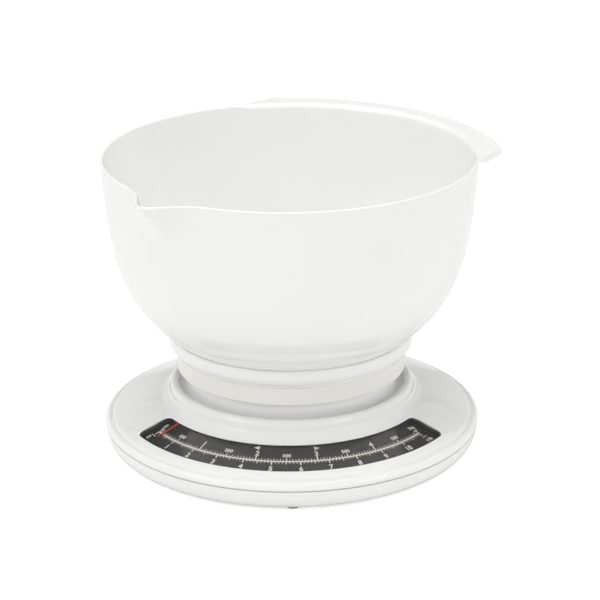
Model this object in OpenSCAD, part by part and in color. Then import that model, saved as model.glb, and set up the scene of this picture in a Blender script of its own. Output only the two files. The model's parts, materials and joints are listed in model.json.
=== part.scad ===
// Mechanical kitchen scale with a lift-off mixing bowl, a sprung platform on a
// parallel linkage and a pointer that sweeps a dial under a window in the base.
// Front of the scale faces -Y, +Z is up, the origin is on the table at the centre.

/* [Base] */
// Largest radius of the base
base_r = 115; // [112:0.5:140]
// Height of the joint between tray and top shell
parting_z = 14.5; // [13:0.5:18]
// Height of the tray's underside above the table
tray_z = 2; // [1.5:0.5:4]
// Thickness of the tray floor and wall
tray_wall = 2; // [1.5:0.1:2.6]
// Thickness of the top shell, measured upright
shell_wall = 2.5; // [2:0.1:3]
// Rise of the sloping top face for each millimetre towards the centre
face_rise = 0.35; // [0.3:0.01:0.38]
// Width of the moulded rim outside the top face
rim_w = 5.6; // [4:0.1:8]
// Height of the collar round the platform
collar_h = 26.7; // [24:0.1:28]
// Width of the collar
collar_w = 5.6; // [4:0.1:7]
// Height of the fixed upstand inside the platform skirt
upstand_h = 34; // [30:0.5:34.5]
// Radius of a rubber foot
foot_r = 4.2; // [3:0.1:5]
// Radius of a finger dish beside the window
dish_r = 14; // [10:0.5:14]

/* [Window and dial] */
// Radial width of the window
window_w = 21.2; // [16:0.2:22]
// Distance from the top face's outer edge to the window
window_margin = 5.5; // [4:0.5:8]
// Direction of the window's left end
window_from = 206.5; // [200:0.5:215]
// Direction of the window's right end
window_to = 331; // [325:0.5:335]
// Corner radius of the window
window_corner = 5; // [2:0.5:7]
// Thickness of the window lens
lens_t = 1.3; // [1:0.1:1.5]
// Drop from the top face to the printed face of the dial
dial_drop = 4; // [3.8:0.1:5]
// Thickness of the dial plate
dial_t = 0.8; // [0.6:0.1:1.2]
// Direction of the pointer at rest
pointer_at = 213.4; // [210:0.1:214]

/* [Platform and bowl] */
// Outer radius of the platform skirt
skirt_r = 69.7; // [66:0.1:72]
// Depth of the skirt below the platform floor
skirt_h = 9; // [8:0.1:10]
// Height of the platform floor's underside
floor_z = 58.6; // [58.6:0.1:66]
// Thickness of the platform floor and skirt
platform_wall = 2; // [1.6:0.1:2.6]
// Height of the platform's lip above its floor
lip_h = 12.4; // [8:0.1:14]
// Radius of the bowl at its rim
bowl_r = 112.8; // [100:0.2:140]
// Height of the bowl from its foot to its rim
bowl_h = 122.3; // [100:0.1:150]
// Thickness of the bowl wall
bowl_wall = 1.8; // [1.5:0.1:3]
// Reach of the pouring spout beyond the rim
spout_reach = 18.5; // [10:0.5:24]
// Reach of the handle ledge beyond the rim
handle_reach = 12.4; // [8:0.2:20]

/* [Mechanism] */
// Travel of the platform at full load
travel = 6; // [5:0.1:6]
// Length of each arm between its pivots
arm_l = 40; // [36:0.5:42]
// Height between the upper and lower arms
arm_gap = 25; // [24:0.5:28]
// Thickness of the sheet steel
sheet = 1.5; // [1:0.1:1.6]
// Radius of the pivot pins
pin_r = 1.5; // [1.2:0.1:2]
// Radial play of the pivots on the frame
pivot_play = 0.05; // [0.02:0.01:0.1]
// Radial play of the pivots on the carrier
free_play = 0.2; // [0.15:0.01:0.3]
// Number of teeth that mesh with the rack
spur_teeth = 24; // [24:1:24]
// Number of teeth on the face gear
face_teeth = 32; // [32:1:32]
// Number of teeth on the spindle pinion
pinion_teeth = 8; // [8:1:8]
// Gear module
gear_m = 1; // [1:0.1:1]
// Wire thickness of the springs
wire_d = 1.3; // [1:0.1:1.6]
// Distance of each spring from the middle
spring_x = 10; // [9:0.5:12]

/* [Hidden] */
$fn = 96;
fine = 180;

white = "whitesmoke";
cream = "ivory";
steel = "silver";
brass = "goldenrod";
grip = "dimgray";

// Base levels and radii, all from the driving sizes
face_r = base_r - rim_w;
face_z = parting_z + 6.6;
function face_at(r) = face_z + (face_r - r) * face_rise;
floor_top = tray_z + tray_wall;
seam = 0.3;
collar_z = parting_z + collar_h;
collar_in = skirt_r - 0.5;
collar_out = collar_in + collar_w;
groove_floor = collar_z - 3.4;
upstand_out = skirt_r - 4.7;
upstand_in = upstand_out - 2.4;
upstand_z = parting_z + upstand_h;
window_out = face_r - window_margin;
window_in = window_out - window_w;
lens_lap = 1.6;
dial_in = window_in - 6;
dial_out = window_out + 1.6;
dial_from = window_from - 4;
dial_to = window_to + 4;
shell_screw_r = base_r - 17;
shell_screw_at = [45, 135, 192, 346];
foot_at = [0, 90, 180, 270];
foot_pos_r = base_r - 12.6;
dish_at = [197.5, 338];
dish_pos_r = (window_in + window_out) / 2;
dish_depth = 1.1;
screw_r = 1.2;
head_r = 2.7;
hole_play = 0.05;

// Platform and bowl levels
cup_top = floor_z + platform_wall;
lip_z = cup_top + lip_h;
lip_r = skirt_r + 4.8;
seat_gap = 0.1;
foot_z = cup_top + seat_gap;
rim_z = foot_z + bowl_h;
bowl_foot_h = 3.6;
bowl_base_z = foot_z + bowl_foot_h;
bowl_base_r = 61;
bowl_turn = 50;
skirt_z = floor_z - skirt_h;

// Mechanism levels, from the frame plate up
frame_z = floor_top + 1.2;
frame_top = frame_z + sheet;
arm_drop = travel / 2;
rear_y = 50;
front_y = rear_y - arm_l;
lower_rear_z = frame_top + 8.3;
upper_rear_z = lower_rear_z + arm_gap;
lower_front_z = lower_rear_z + arm_drop;
upper_front_z = upper_rear_z + arm_drop;
arm_tilt = asin(arm_drop / arm_l);
carrier_x = 18;
arm_x = 21;
cheek_x = 24;
bar_h = 6.4;
spring_y = 26;
post_z = upper_rear_z + 8;
post_r = 2;
yoke_z = lower_front_z - 2;
yoke_h = 3;
screw_stem_r = 2;
knob_r = 10;

// Gears: the rack turns the wheel, and the wheel's face teeth turn the spindle
spur_r = gear_m * spur_teeth / 2;
crown_r = gear_m * face_teeth / 2;
pinion_r = gear_m * pinion_teeth / 2;
tooth_w = 1.2 * gear_m;
addendum = 0.75 * gear_m;
dedendum = 1.15 * gear_m;
flank = tan(20);
pinion_h = 4;
pinion_z = 12.5;
wheel_z = pinion_z + crown_r;
crown_back = pinion_r + dedendum;
spur_y = [8, 12];
bracket_y = [13.5, 18];
shaft_r = 1.5;
bracket_x = 7;
bridge_x = 13;
bridge_z = wheel_z + 4.5;
spindle_r = 1.6;
journal_r = 1;
pointer_t = 0.35;
pointer_z = face_at(dial_in) - 2.95 - pointer_t;
pointer_tip_r = window_in + 13.2;

// Rounded annular sector: outline of the window and of what seats in it
function arc(cx, cy, r, a, b, n) = [for (i = [0:n])
    [cx + r * cos(a + (b - a) * i / n), cy + r * sin(a + (b - a) * i / n)]];
function sector(r1, r2, a1, a2, c) =
    let (o = asin(c / (r2 - c)), i = asin(c / (r1 + c)), ro = r2 - c, ri = r1 + c)
    concat(arc(0, 0, r2, a1 + o, a2 - o, 48),
           arc(ro * cos(a2 - o), ro * sin(a2 - o), c, a2 - o, a2 + 90, 8),
           arc(ri * cos(a2 - i), ri * sin(a2 - i), c, a2 + 90, a2 + 180 - i, 8),
           arc(0, 0, r1, a2 - i, a1 + i, 48),
           arc(ri * cos(a1 + i), ri * sin(a1 + i), c, a1 + 180 + i, a1 + 270, 8),
           arc(ro * cos(a1 + o), ro * sin(a1 + o), c, a1 - 90, a1 + o, 8));

// Cubic curve along which the bowl wall runs, from above the rim to the foot
function bezier(p, n) = [for (i = [1:n]) let (t = i / n, u = 1 - t)
    u * u * u * p[0] + 3 * u * u * t * p[1] + 3 * u * t * t * p[2] + t * t * t * p[3]];
function bowl_curve(inset, above) = let (h = rim_z - bowl_base_z)
    concat([[bowl_r - inset + 0.054 * above, rim_z + above]], bezier([
    [bowl_r - inset, rim_z],
    [bowl_r - 3.6 - inset, bowl_base_z + 0.438 * h],
    [bowl_r - 10.7 - inset, bowl_base_z + inset * 0.6 + 0.226 * h],
    [bowl_base_r - inset * 0.4, bowl_base_z + inset]], 18));

module ring(r_in, r_out, z0, z1) {
    translate([0, 0, z0]) difference() {
        cylinder(r = r_out, h = z1 - z0);
        translate([0, 0, -1]) cylinder(r = r_in, h = z1 - z0 + 2);
    }
}

module disc(r, z0, z1) {
    translate([0, 0, z0]) cylinder(r = r, h = z1 - z0);
}

// Round bar along X or Y between two positions
module bar_x(r, x0, x1, y, z) {
    translate([x0, y, z]) rotate([0, 90, 0]) cylinder(r = r, h = x1 - x0, $fn = 48);
}
module bar_y(r, y0, y1, x, z) {
    translate([x, y1, z]) rotate([90, 0, 0]) cylinder(r = r, h = y1 - y0, $fn = 48);
}

module box(x0, x1, y0, y1, z0, z1) {
    translate([x0, y0, z0]) cube([x1 - x0, y1 - y0, z1 - z0]);
}

// Solid between two cones that follow the top face, at two depths below it
module under_face(r0, r1, d0, d1) {
    rotate_extrude($fn = fine) polygon([[r0, face_at(r0) - d1], [r1, face_at(r1) - d1],
                                        [r1, face_at(r1) - d0], [r0, face_at(r0) - d0]]);
}

// Screw with a pan head below and a shank that points up
module screw_up(r, head, z0, z_head, z1) {
    disc(head, z0, z_head);
    disc(r, z_head - 0.1, z1);
}
// Screw with its head above
module screw_down(r, head, z0, z_head, z1) {
    disc(r, z0, z_head + 0.1);
    difference() {
        disc(head, z_head, z1);
        translate([-head - 1, -0.4, z1 - 0.6]) cube([2 * head + 2, 0.8, 1]);
    }
}

module at_polar(r, angles) {
    for (a = angles) rotate([0, 0, a]) translate([r, 0, 0]) rotate([0, 0, -a]) children();
}

// ---------------------------------------------------------------- bowl
handle_half = 45;
handle_end = 58;
function handle_r(d) = let (a = abs(d), tip = handle_reach + 3.2)
    bowl_r - 0.3 + (a <= handle_half ? handle_reach + 3.2 * pow(a / handle_half, 2)
                                     : tip * pow(max(0, (handle_end - a) / (handle_end - handle_half)),
                                         1.3));
// Flat ledge that runs out of the rim, between a radius inside the wall and its own edge
module handle_ledge() {
    polygon(concat([for (d = [-handle_end:2:handle_end]) handle_r(d) * [cos(d), sin(d)]],
                   [for (d = [handle_end:-2:-handle_end]) (bowl_r - bowl_wall / 2) * [cos(d), sin(d)]]));
}
// Turned-down edge of the ledge
module handle_edge() {
    polygon(concat([for (d = [-handle_half:3:handle_half]) (handle_r(d) - 0.1) * [cos(d), sin(d)]],
                   [for (d = [handle_half:-3:-handle_half]) (handle_r(d) - bowl_wall) * [cos(d), sin(d)]]));
}
module spout_form(inset) {
    hull() {
        translate([bowl_r + spout_reach - 1.6 - 1.9 * inset, 0, rim_z])
            cylinder(r = 0.8, h = trim, $fn = 16);
        for (s = [-1, 1]) rotate([0, 0, 10.5 * s])
            translate([bowl_r - 1.4 - inset, 0, rim_z]) cylinder(r = 0.8, h = trim, $fn = 16);
        translate([bowl_r - 1.6 - inset, 0, rim_z - 34]) cylinder(r = 0.8, h = 0.1, $fn = 16);
        translate([bowl_r - 12, 0, rim_z - 26]) cylinder(r = 5, h = 0.1, $fn = 16);
        translate([bowl_r - 12, 0, rim_z]) cylinder(r = 10, h = trim, $fn = 16);
    }
}
// Everything at the rim is made too tall by the trim, then cut off level
trim = 2;
module bowl() color(white) {
    difference() {
        union() {
            rotate_extrude($fn = 96) polygon(concat([[0, rim_z + trim]], bowl_curve(0, trim),
                [[0, bowl_base_z]]));
            ring(bowl_base_r - 4, bowl_base_r - 1.5, foot_z, bowl_base_z + 1);
            rotate([0, 0, bowl_turn]) {
                translate([0, 0, rim_z - bowl_wall]) linear_extrude(height = bowl_wall + trim)
                    handle_ledge();
                translate([0, 0, rim_z - 6]) linear_extrude(height = 5) handle_edge();
            }
            rotate([0, 0, bowl_turn + 180]) spout_form(0);
        }
        rotate_extrude($fn = 96) polygon(concat([[0, rim_z + 2 * trim]], bowl_curve(bowl_wall, 2 * trim),
            [[0, bowl_base_z + bowl_wall]]));
        rotate([0, 0, bowl_turn + 180]) translate([0, 0, 0.4]) spout_form(bowl_wall);
        disc(bowl_r + 60, rim_z, rim_z + 40);
    }
}

// ------------------------------------------------------------ platform
module platform_cup() color(white) {
    lip = [[skirt_r - 0.4, cup_top - 0.1], [skirt_r - 0.1, cup_top + 1.8], [lip_r - 1.9, cup_top + 3],
           [lip_r - 0.5, cup_top + 5.4], [lip_r, cup_top + 8.2], [lip_r - 0.1, lip_z - 1.8],
           [lip_r - 0.6, lip_z - 0.6], [lip_r - 1.4, lip_z - 0.2], [lip_r - 2.3, lip_z - 1],
           [lip_r - 3.3, lip_z - 2.4], [lip_r - 4.5, cup_top + 5.2], [lip_r - 6.3, cup_top + 2],
           [lip_r - 9.9, cup_top]];
    difference() {
        rotate_extrude($fn = fine) polygon(concat([[0, floor_z], [skirt_r - platform_wall - 0.1, floor_z],
            [skirt_r - platform_wall - 0.1, cup_top - 0.1]], lip, [[0, cup_top]]));
        translate([0, spring_y, 0]) disc(knob_r + 0.3, floor_z - 1, cup_top + 1);
        for (p = platform_holes) translate([p[0], p[1], 0]) disc(screw_r + 0.4, floor_z - 1, cup_top + 1);
    }
}
module platform_skirt() color(cream) {
    rotate_extrude($fn = fine) polygon([[skirt_r - platform_wall, skirt_z + 0.4],
        [skirt_r - platform_wall + 0.4, skirt_z], [skirt_r - 0.4, skirt_z], [skirt_r, skirt_z + 0.4],
        [skirt_r, cup_top - 0.4], [skirt_r - 0.4, cup_top - 0.1], [skirt_r - platform_wall, cup_top - 0.1]]);
}
platform_holes = [[-22, -8], [22, -8], [-22, 26], [22, 26]];
module platform_screws() color(steel) {
    for (p = platform_holes) translate([p[0], p[1], 0])
        screw_down(screw_r + 0.3 - hole_play, head_r, floor_z - sheet, cup_top, cup_top + 1.6);
}

// ------------------------------------------- carrier, rack and zero knob
carrier_top = floor_z;
module carrier_cheek(x0, x1) {
    box(x0, x1, 4, 16, yoke_z - 2, carrier_top);
    box(x0, x1, 4, 34, yoke_z - 2, yoke_z + 8);
}
module carrier() color(steel) {
    difference() {
        union() {
            for (s = [-1, 1]) scale([s, 1, 1]) carrier_cheek(carrier_x, carrier_x + sheet);
            box(-carrier_x - sheet, carrier_x + sheet, 32.5, 34, yoke_z - 2, yoke_z + 6);
            box(-27, 27, -13, 31, carrier_top - sheet, carrier_top);
        }
        for (z = [upper_front_z, lower_front_z]) bar_x(pin_r, -30, 30, front_y, z);
        translate([0, spring_y, 0]) disc(screw_stem_r + 0.1, carrier_top - 5, carrier_top + 1);
        for (p = platform_holes) translate([p[0], p[1], 0])
            disc(screw_r + 0.3, carrier_top - 5, carrier_top + 1);
        for (z = rack_screw_z) bar_x(screw_r + hole_play, carrier_x - 1, carrier_x + 3, 10, z);
    }
}
rack_root = spur_r + dedendum;
rack_z = [wheel_z - 8, wheel_z + 12.5];
rack_screw_z = [wheel_z - 5, wheel_z + 9.5];
module rack() color(brass) {
    difference() {
        box(rack_root, carrier_x, spur_y[0], spur_y[1], rack_z[0], rack_z[1]);
        for (z = rack_screw_z) bar_x(screw_r + hole_play, rack_root + 1.4, carrier_x + 1, 10, z);
    }
    for (k = [-2:3]) translate([spur_r, spur_y[1], wheel_z + k * PI * gear_m]) rotate([90, 0, 0])
        linear_extrude(height = spur_y[1] - spur_y[0]) polygon([
            [-addendum, -tooth_w / 2 + addendum * flank], [dedendum + 0.1, -tooth_w / 2 - dedendum * flank],
            [dedendum + 0.1, tooth_w / 2 + dedendum * flank], [-addendum, tooth_w / 2 - addendum * flank]]);
}
module rack_screws() color(steel) {
    for (z = rack_screw_z) {
        bar_x(screw_r, carrier_x - 3, carrier_x + sheet + 0.1, 10, z);
        bar_x(2.2, carrier_x + sheet, carrier_x + sheet + 1, 10, z);
    }
}
module carrier_pins(z) {
    for (s = [-1, 1]) scale([s, 1, 1]) {
        bar_x(pin_r, carrier_x + 0.1, arm_x + sheet + 0.3, front_y, z);
        bar_x(pin_r + 1.1, arm_x + sheet + 0.2, arm_x + sheet + 1.1, front_y, z);
    }
}
module upper_carrier_pins() color(steel) carrier_pins(upper_front_z);
module lower_carrier_pins() color(steel) carrier_pins(lower_front_z);

module zero_knob() color(steel) translate([0, spring_y, 0]) difference() {
    union() {
        disc(knob_r, floor_z + 0.05, cup_top - 0.1);
        disc(screw_stem_r, yoke_z - 1.8, floor_z + 0.1);
        for (a = [0:20:340]) rotate([0, 0, a]) translate([knob_r - 0.1, 0, 0])
            disc(0.35, floor_z + 0.05, cup_top - 0.1, $fn = 16);
    }
    translate([-knob_r + 2, -0.7, cup_top - 1.1]) cube([2 * knob_r - 4, 1.4, 2]);
}
module zero_yoke() color(grip) difference() {
    union() {
        box(-carrier_x + 0.4, carrier_x - 0.4, spring_y - 3.5, spring_y + 3.5, yoke_z, yoke_z + yoke_h);
        translate([0, spring_y, 0]) disc(4.4, yoke_z, yoke_z + yoke_h + 3);
    }
    translate([0, spring_y, 0]) disc(screw_stem_r + hole_play, yoke_z - 1, yoke_z + 10);
    for (s = [-1, 1]) translate([s * spring_x, spring_y, 0]) disc(1.5, yoke_z - 1, yoke_z + 10);
}

// -------------------------------------------------------------- linkage
// A pair of side bars joined by a cross tie, between a rear and a front pivot
module link(rear_z) {
    difference() {
        translate([0, rear_y, rear_z]) rotate([-arm_tilt, 0, 0]) {
            for (s = [-1, 1]) scale([s, 1, 1]) {
                box(arm_x, arm_x + sheet, -arm_l, 0, -bar_h / 2, bar_h / 2);
                for (y = [-arm_l, 0]) bar_x(bar_h / 2, arm_x, arm_x + sheet, y, 0);
            }
            box(-arm_x - sheet, arm_x + sheet, -10, -6, -sheet / 2, sheet / 2);
        }
        bar_x(pin_r + pivot_play, -30, 30, rear_y, rear_z);
        bar_x(pin_r + free_play, -30, 30, front_y, rear_z + arm_drop);
    }
}
module upper_arm() color(steel) link(upper_rear_z);
module lower_arm() color(steel) link(lower_rear_z);
module frame_pin(z) {
    bar_x(pin_r, -cheek_x - sheet - 1.6, cheek_x + sheet + 1.6, rear_y, z);
    bar_x(pin_r + 1, cheek_x + sheet + 0.9, cheek_x + sheet + 1.8, rear_y, z);
}
module upper_frame_pin() color(steel) frame_pin(upper_rear_z);
module lower_frame_pin() color(steel) frame_pin(lower_rear_z);
module clip(r_in, r_out, t) {
    difference() {
        cylinder(r = r_out, h = t, $fn = 48);
        translate([0, 0, -1]) cylinder(r = r_in, h = t + 2, $fn = 48);
        translate([0, -r_in * 0.7, -1]) cube([r_out + 1, r_in * 1.4, t + 2]);
    }
}
module pin_clips() color(steel) {
    for (z = [upper_rear_z, lower_rear_z]) translate([-cheek_x - sheet - 0.9, rear_y, z])
        rotate([0, 90, 0]) clip(pin_r, pin_r + 1.4, 0.7);
}

// -------------------------------------------------------------- springs
module spring_posts() color(steel) {
    for (s = [-1, 1]) scale([s, 1, 1]) {
        difference() {
            bar_x(post_r, spring_x - 2.5, cheek_x + sheet + 1.2, spring_y, post_z);
            translate([spring_x, spring_y, post_z]) rotate([0, 90, 0])
                ring(post_r - 0.5, post_r + 1, -0.9, 0.9);
        }
    }
}
// Coiled wire between a hook over the post and a hook under the yoke
coil_r = 4;
coil_turns = 11;
coil_bottom = yoke_z + yoke_h + 3.6;
coil_top = post_z - post_r - 2.6;
hook_low = yoke_z - 1;
function coil_point(a) = [coil_r * cos(a), coil_r * sin(a),
    coil_bottom + (coil_top - coil_bottom) * a / (360 * coil_turns)];
function spring_path() = concat(
    [[0, 0, yoke_z + 0.5], [0, 0, coil_bottom - 2.2], [coil_r * 0.5, 0, coil_bottom - 0.8]],
    [for (i = [0:coil_turns * 12]) coil_point(i * 30)],
    [[coil_r * 0.5, 0, coil_top + 0.8], [0, 0, coil_top + 1.2], [0, 0, post_z - post_r - 0.2]]);
module tube(path, r, sides) {
    n = len(path);
    function dir(i) = let (v = path[min(i + 1, n - 1)] - path[max(i - 1, 0)]) v / norm(v);
    function side(i) = let (d = dir(i), c = cross(d, abs(d[2]) > 0.9 ? [0, 1, 0] : [0, 0, 1])) c / norm(c);
    rings = [for (i = [0:n - 1]) let (s = side(i), t = cross(dir(i), s))
             for (k = [0:sides - 1]) path[i] + r * (s * cos(k * 360 / sides) + t * sin(k * 360 / sides))];
    walls = [for (i = [0:n - 2], k = [0:sides - 1]) let (a = i * sides + k, b = i * sides + (k + 1) % sides)
             [a, b, b + sides, a + sides]];
    polyhedron(rings, concat([[for (k = [sides - 1:-1:0]) k]], walls,
        [[for (k = [0:sides - 1]) (n - 1) * sides + k]]));
}
module spring(x) {
    translate([x, spring_y, 0]) tube(spring_path(), wire_d / 2, 6);
}
module spring_left() color(steel) spring(-spring_x);
module spring_right() color(steel) spring(spring_x);

// ---------------------------------------------------------------- frame
frame_back = rear_y + 11;
frame_holes = [[-30, -9], [30, -9], [-30, frame_back - 5], [30, frame_back - 5]];
module frame_cheek(x0, x1) {
    box(x0, x1, rear_y - 8, rear_y + 4.5, frame_z, upper_rear_z + 4.5);
    box(x0, x1, spring_y - 4, rear_y + 4.5, upper_rear_z - 4, upper_rear_z + 4.5);
    box(x0, x1, spring_y - 4, spring_y + 4, upper_rear_z - 4, post_z + 3);
}
module mechanism_frame() color(steel) {
    difference() {
        union() {
            box(-35, 35, -14, frame_back, frame_z, frame_top);
            for (s = [-1, 1]) scale([s, 1, 1]) frame_cheek(cheek_x, cheek_x + sheet);
        }
        disc(journal_r + hole_play, frame_z - 1, frame_top + 1);
        for (p = frame_holes) translate([p[0], p[1], 0])
            disc(screw_r + 0.3 + hole_play, frame_z - 1, frame_top + 1);
        for (z = [upper_rear_z, lower_rear_z]) bar_x(pin_r, -40, 40, rear_y, z);
        bar_x(post_r, -40, 40, spring_y, post_z);
        for (x = [-18, 18]) translate([x, -0.8, 0]) disc(screw_r + hole_play, frame_z - 1, frame_top + 1);
        for (x = [-10.5, 10.5]) translate([x, 16.5, 0])
            disc(screw_r + hole_play, frame_z - 1, frame_top + 1);
        box(-12, 12, rear_y - 14, rear_y, frame_z - 1, frame_top + 1);
    }
}
module frame_screws() color(steel) {
    for (p = frame_holes) translate([p[0], p[1], 0])
        screw_up(screw_r + 0.3, head_r, tray_z + 0.2, tray_z + 1.6, frame_top + 0.8);
}

// ---------------------------------------------------------------- gears
module gear_tooth(pitch_r) {
    polygon([[pitch_r - dedendum - 0.3, -tooth_w / 2 - dedendum * flank],
        [pitch_r + addendum, -tooth_w / 2 + addendum * flank],
             [pitch_r + addendum, tooth_w / 2 - addendum * flank],
                 [pitch_r - dedendum - 0.3, tooth_w / 2 + dedendum * flank]]);
}
module gear_bracket() color(steel) difference() {
    union() {
        for (y = bracket_y) box(-bracket_x, bracket_x, y, y + sheet, frame_top, wheel_z + 4.5);
        box(-bracket_x - 7, bracket_x + 7, bracket_y[0], bracket_y[1] + sheet, frame_top,
            frame_top + sheet);
    }
    bar_y(shaft_r + pivot_play, bracket_y[0] - 5, bracket_y[1] + 5, 0, wheel_z);
    for (x = [-10.5, 10.5]) translate([x, 16.5, 0])
        disc(screw_r + 0.2, frame_top - 1, frame_top + sheet + 1);
}
module bracket_screws() color(steel) {
    for (x = [-10.5, 10.5]) translate([x, 16.5, 0])
        screw_down(screw_r, 2.2, frame_z + 0.1, frame_top + sheet, frame_top + sheet + 1.2);
}
module drive_wheel() color(brass) translate([0, 0, wheel_z]) rotate([-90, 0, 0]) difference() {
    union() {
        disc(crown_r + 1.4, crown_back, crown_back + 1.8);
        disc(spur_r - dedendum - 1, crown_back + 1.7, spur_y[0] + 0.1);
        translate([0, 0, spur_y[0]]) linear_extrude(height = spur_y[1] - spur_y[0]) {
            circle(r = spur_r - dedendum);
            for (i = [0:spur_teeth - 1]) rotate((i + 0.5) * 360 / spur_teeth) gear_tooth(spur_r);
        }
        disc(4, spur_y[1] - 0.1, spur_y[1] + 1);
        for (i = [0:face_teeth - 1]) rotate([0, 0, (i + 0.5) * 360 / face_teeth]) face_tooth();
    }
    disc(shaft_r, 0, 30);
}
// Ridge on the front face of the wheel, narrower at its crest
module face_tooth() {
    rise = addendum + dedendum;
    translate([0, 0, pinion_r - addendum]) translate([crown_r - 1.4, 0, 0]) rotate([90, 0, 90])
        linear_extrude(height = 2.8) polygon([[-tooth_w / 2 + addendum * flank, 0],
            [tooth_w / 2 - addendum * flank, 0],
            [tooth_w / 2 + dedendum * flank, rise + 0.1], [-tooth_w / 2 - dedendum * flank, rise + 0.1]]);
}
module drive_shaft() color(steel) {
    bar_y(shaft_r, crown_back - 0.6, bracket_y[1] + sheet + 1.8, 0, wheel_z);
}
module shaft_clip() color(steel) translate([0, bracket_y[1] + sheet + 1, wheel_z]) rotate([90, 0, 0])
    clip(shaft_r, shaft_r + 1.4, 0.7);

// -------------------------------------------------------------- spindle
module spindle() color(steel) {
    disc(journal_r, frame_z, frame_top + 0.2);
    disc(spindle_r, frame_top + 0.1, bridge_z - 0.15);
    disc(journal_r, bridge_z - 0.2, bridge_z + sheet + 0.8);
}
module spindle_pinion() color(brass) difference() {
    translate([0, 0, pinion_z - pinion_h / 2]) linear_extrude(height = pinion_h) {
        circle(r = pinion_r - dedendum);
        for (i = [0:pinion_teeth - 1]) rotate(90 + i * 360 / pinion_teeth) gear_tooth(pinion_r);
    }
    disc(spindle_r, 0, 40);
}
module spindle_bridge() color(steel) difference() {
    union() {
        box(-bridge_x - sheet, bridge_x + sheet, -4, 2.4, bridge_z, bridge_z + sheet);
        for (s = [-1, 1]) scale([s, 1, 1]) {
            box(bridge_x, bridge_x + sheet, -4, 2.4, frame_top, bridge_z + 0.1);
            box(bridge_x, 21, -4, 2.4, frame_top, frame_top + sheet);
        }
    }
    disc(journal_r + hole_play, bridge_z - 1, bridge_z + 5);
    for (x = [-18, 18]) translate([x, -0.8, 0]) disc(screw_r + 0.2, frame_top - 1, frame_top + sheet + 1);
}
module bridge_screws() color(steel) {
    for (x = [-18, 18]) translate([x, -0.8, 0])
        screw_down(screw_r, 2.2, frame_z + 0.1, frame_top + sheet, frame_top + sheet + 1.2);
}
// Hub, flat arm under the collar, then a blade that follows the slope of the dial
module pointer() color("crimson") rotate([0, 0, pointer_at]) difference() {
    union() {
        disc(2.7, pointer_z - 2, pointer_z + 1.6);
        translate([0, 0, pointer_z]) linear_extrude(height = pointer_t)
            polygon([[0, -1.8], [dial_in - 1.5, -0.8], [dial_in - 1.5, 0.8], [0, 1.8]]);
        rotate([90, 0, 0]) translate([0, 0, -0.8]) linear_extrude(height = 1.6)
            polygon([[dial_in - 1.6, pointer_z], [dial_in, pointer_z],
                [pointer_tip_r, pointer_z - (pointer_tip_r - dial_in) * face_rise],
                     [pointer_tip_r, pointer_z + pointer_t - (pointer_tip_r - dial_in) * face_rise],
                     [dial_in, pointer_z + pointer_t], [dial_in - 1.6, pointer_z + pointer_t]]);
    }
    disc(spindle_r, 0, 60);
}

// ----------------------------------------------------------------- dial
dial_ear_r = (dial_in + dial_out) / 2;
dial_ears = [dial_from + 2.2, dial_to - 2.2];
function ear_z(r) = face_at(r) - dial_drop - dial_t;
// Square to the dial's printed face at each fixing
module at_dial_ears() {
    for (a = dial_ears) rotate([0, 0, a]) translate([dial_ear_r, 0, face_at(dial_ear_r) - dial_drop])
        rotate([0, atan(face_rise), 0]) children();
}
module dial_plate() color("black") difference() {
    intersection() {
        under_face(dial_in - 3, dial_out + 3, dial_drop, dial_drop + dial_t);
        linear_extrude(height = 80) polygon(sector(dial_in, dial_out, dial_from, dial_to, 3));
    }
    at_dial_ears() disc(screw_r + hole_play, -5, 5);
}
module dial_screws() color(steel) {
    at_dial_ears() screw_down(screw_r, 1.8, -5, 0, 0.8);
}
module window_lens() color([0.9, 0.95, 1, 0.3]) intersection() {
    under_face(window_in - 4, window_out + 4, shell_wall - lens_t + 0.02, shell_wall);
    linear_extrude(height = 80) polygon(sector(window_in - lens_lap, window_out + lens_lap,
        window_from - 1, window_to + 1, window_corner));
}

// ------------------------------------------------------------ top shell
shell_outer = [
    [base_r - 0.5, parting_z + seam], [base_r, parting_z + seam + 0.7], [base_r - 0.1, parting_z + 2.4],
    [base_r - 0.7, parting_z + 3.8], [base_r - 1.7, parting_z + 4.8], [base_r - 2.9, parting_z + 5.2],
    [base_r - 3.6, parting_z + 5], [base_r - 4.2, parting_z + 4.7], [base_r - 4.8, parting_z + 5.4],
    [face_r, face_z],
    [collar_out + 5.2, face_at(collar_out + 5.2)], [collar_out + 2.6, face_at(collar_out) - 0.1],
    [collar_out + 1.1, face_at(collar_out) + 1.3], [collar_out + 0.2, collar_z - 5],
    [collar_out - 0.1, collar_z - 3],
    [collar_out - 0.8, collar_z - 1.4], [collar_out - 2, collar_z - 0.4], [collar_out - 3.2, collar_z],
    [collar_in + 1.2, collar_z - 0.1], [collar_in + 0.4, collar_z - 0.8], [collar_in, groove_floor]];
shell_inner = [
    [upstand_out, groove_floor], [upstand_out, upstand_z - 0.6], [upstand_out - 0.6, upstand_z],
    [upstand_in, upstand_z], [upstand_in, groove_floor - 2.4], [collar_in + 0.5, groove_floor - 2.4],
    [collar_out - 2, collar_z - 9.4], [collar_out + 2, face_at(collar_out + 2) - shell_wall],
    [face_r - 0.4, face_at(face_r - 0.4) - shell_wall],
    [base_r - 3, parting_z + 2.4], [base_r - 2.4, parting_z + seam]];
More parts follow.
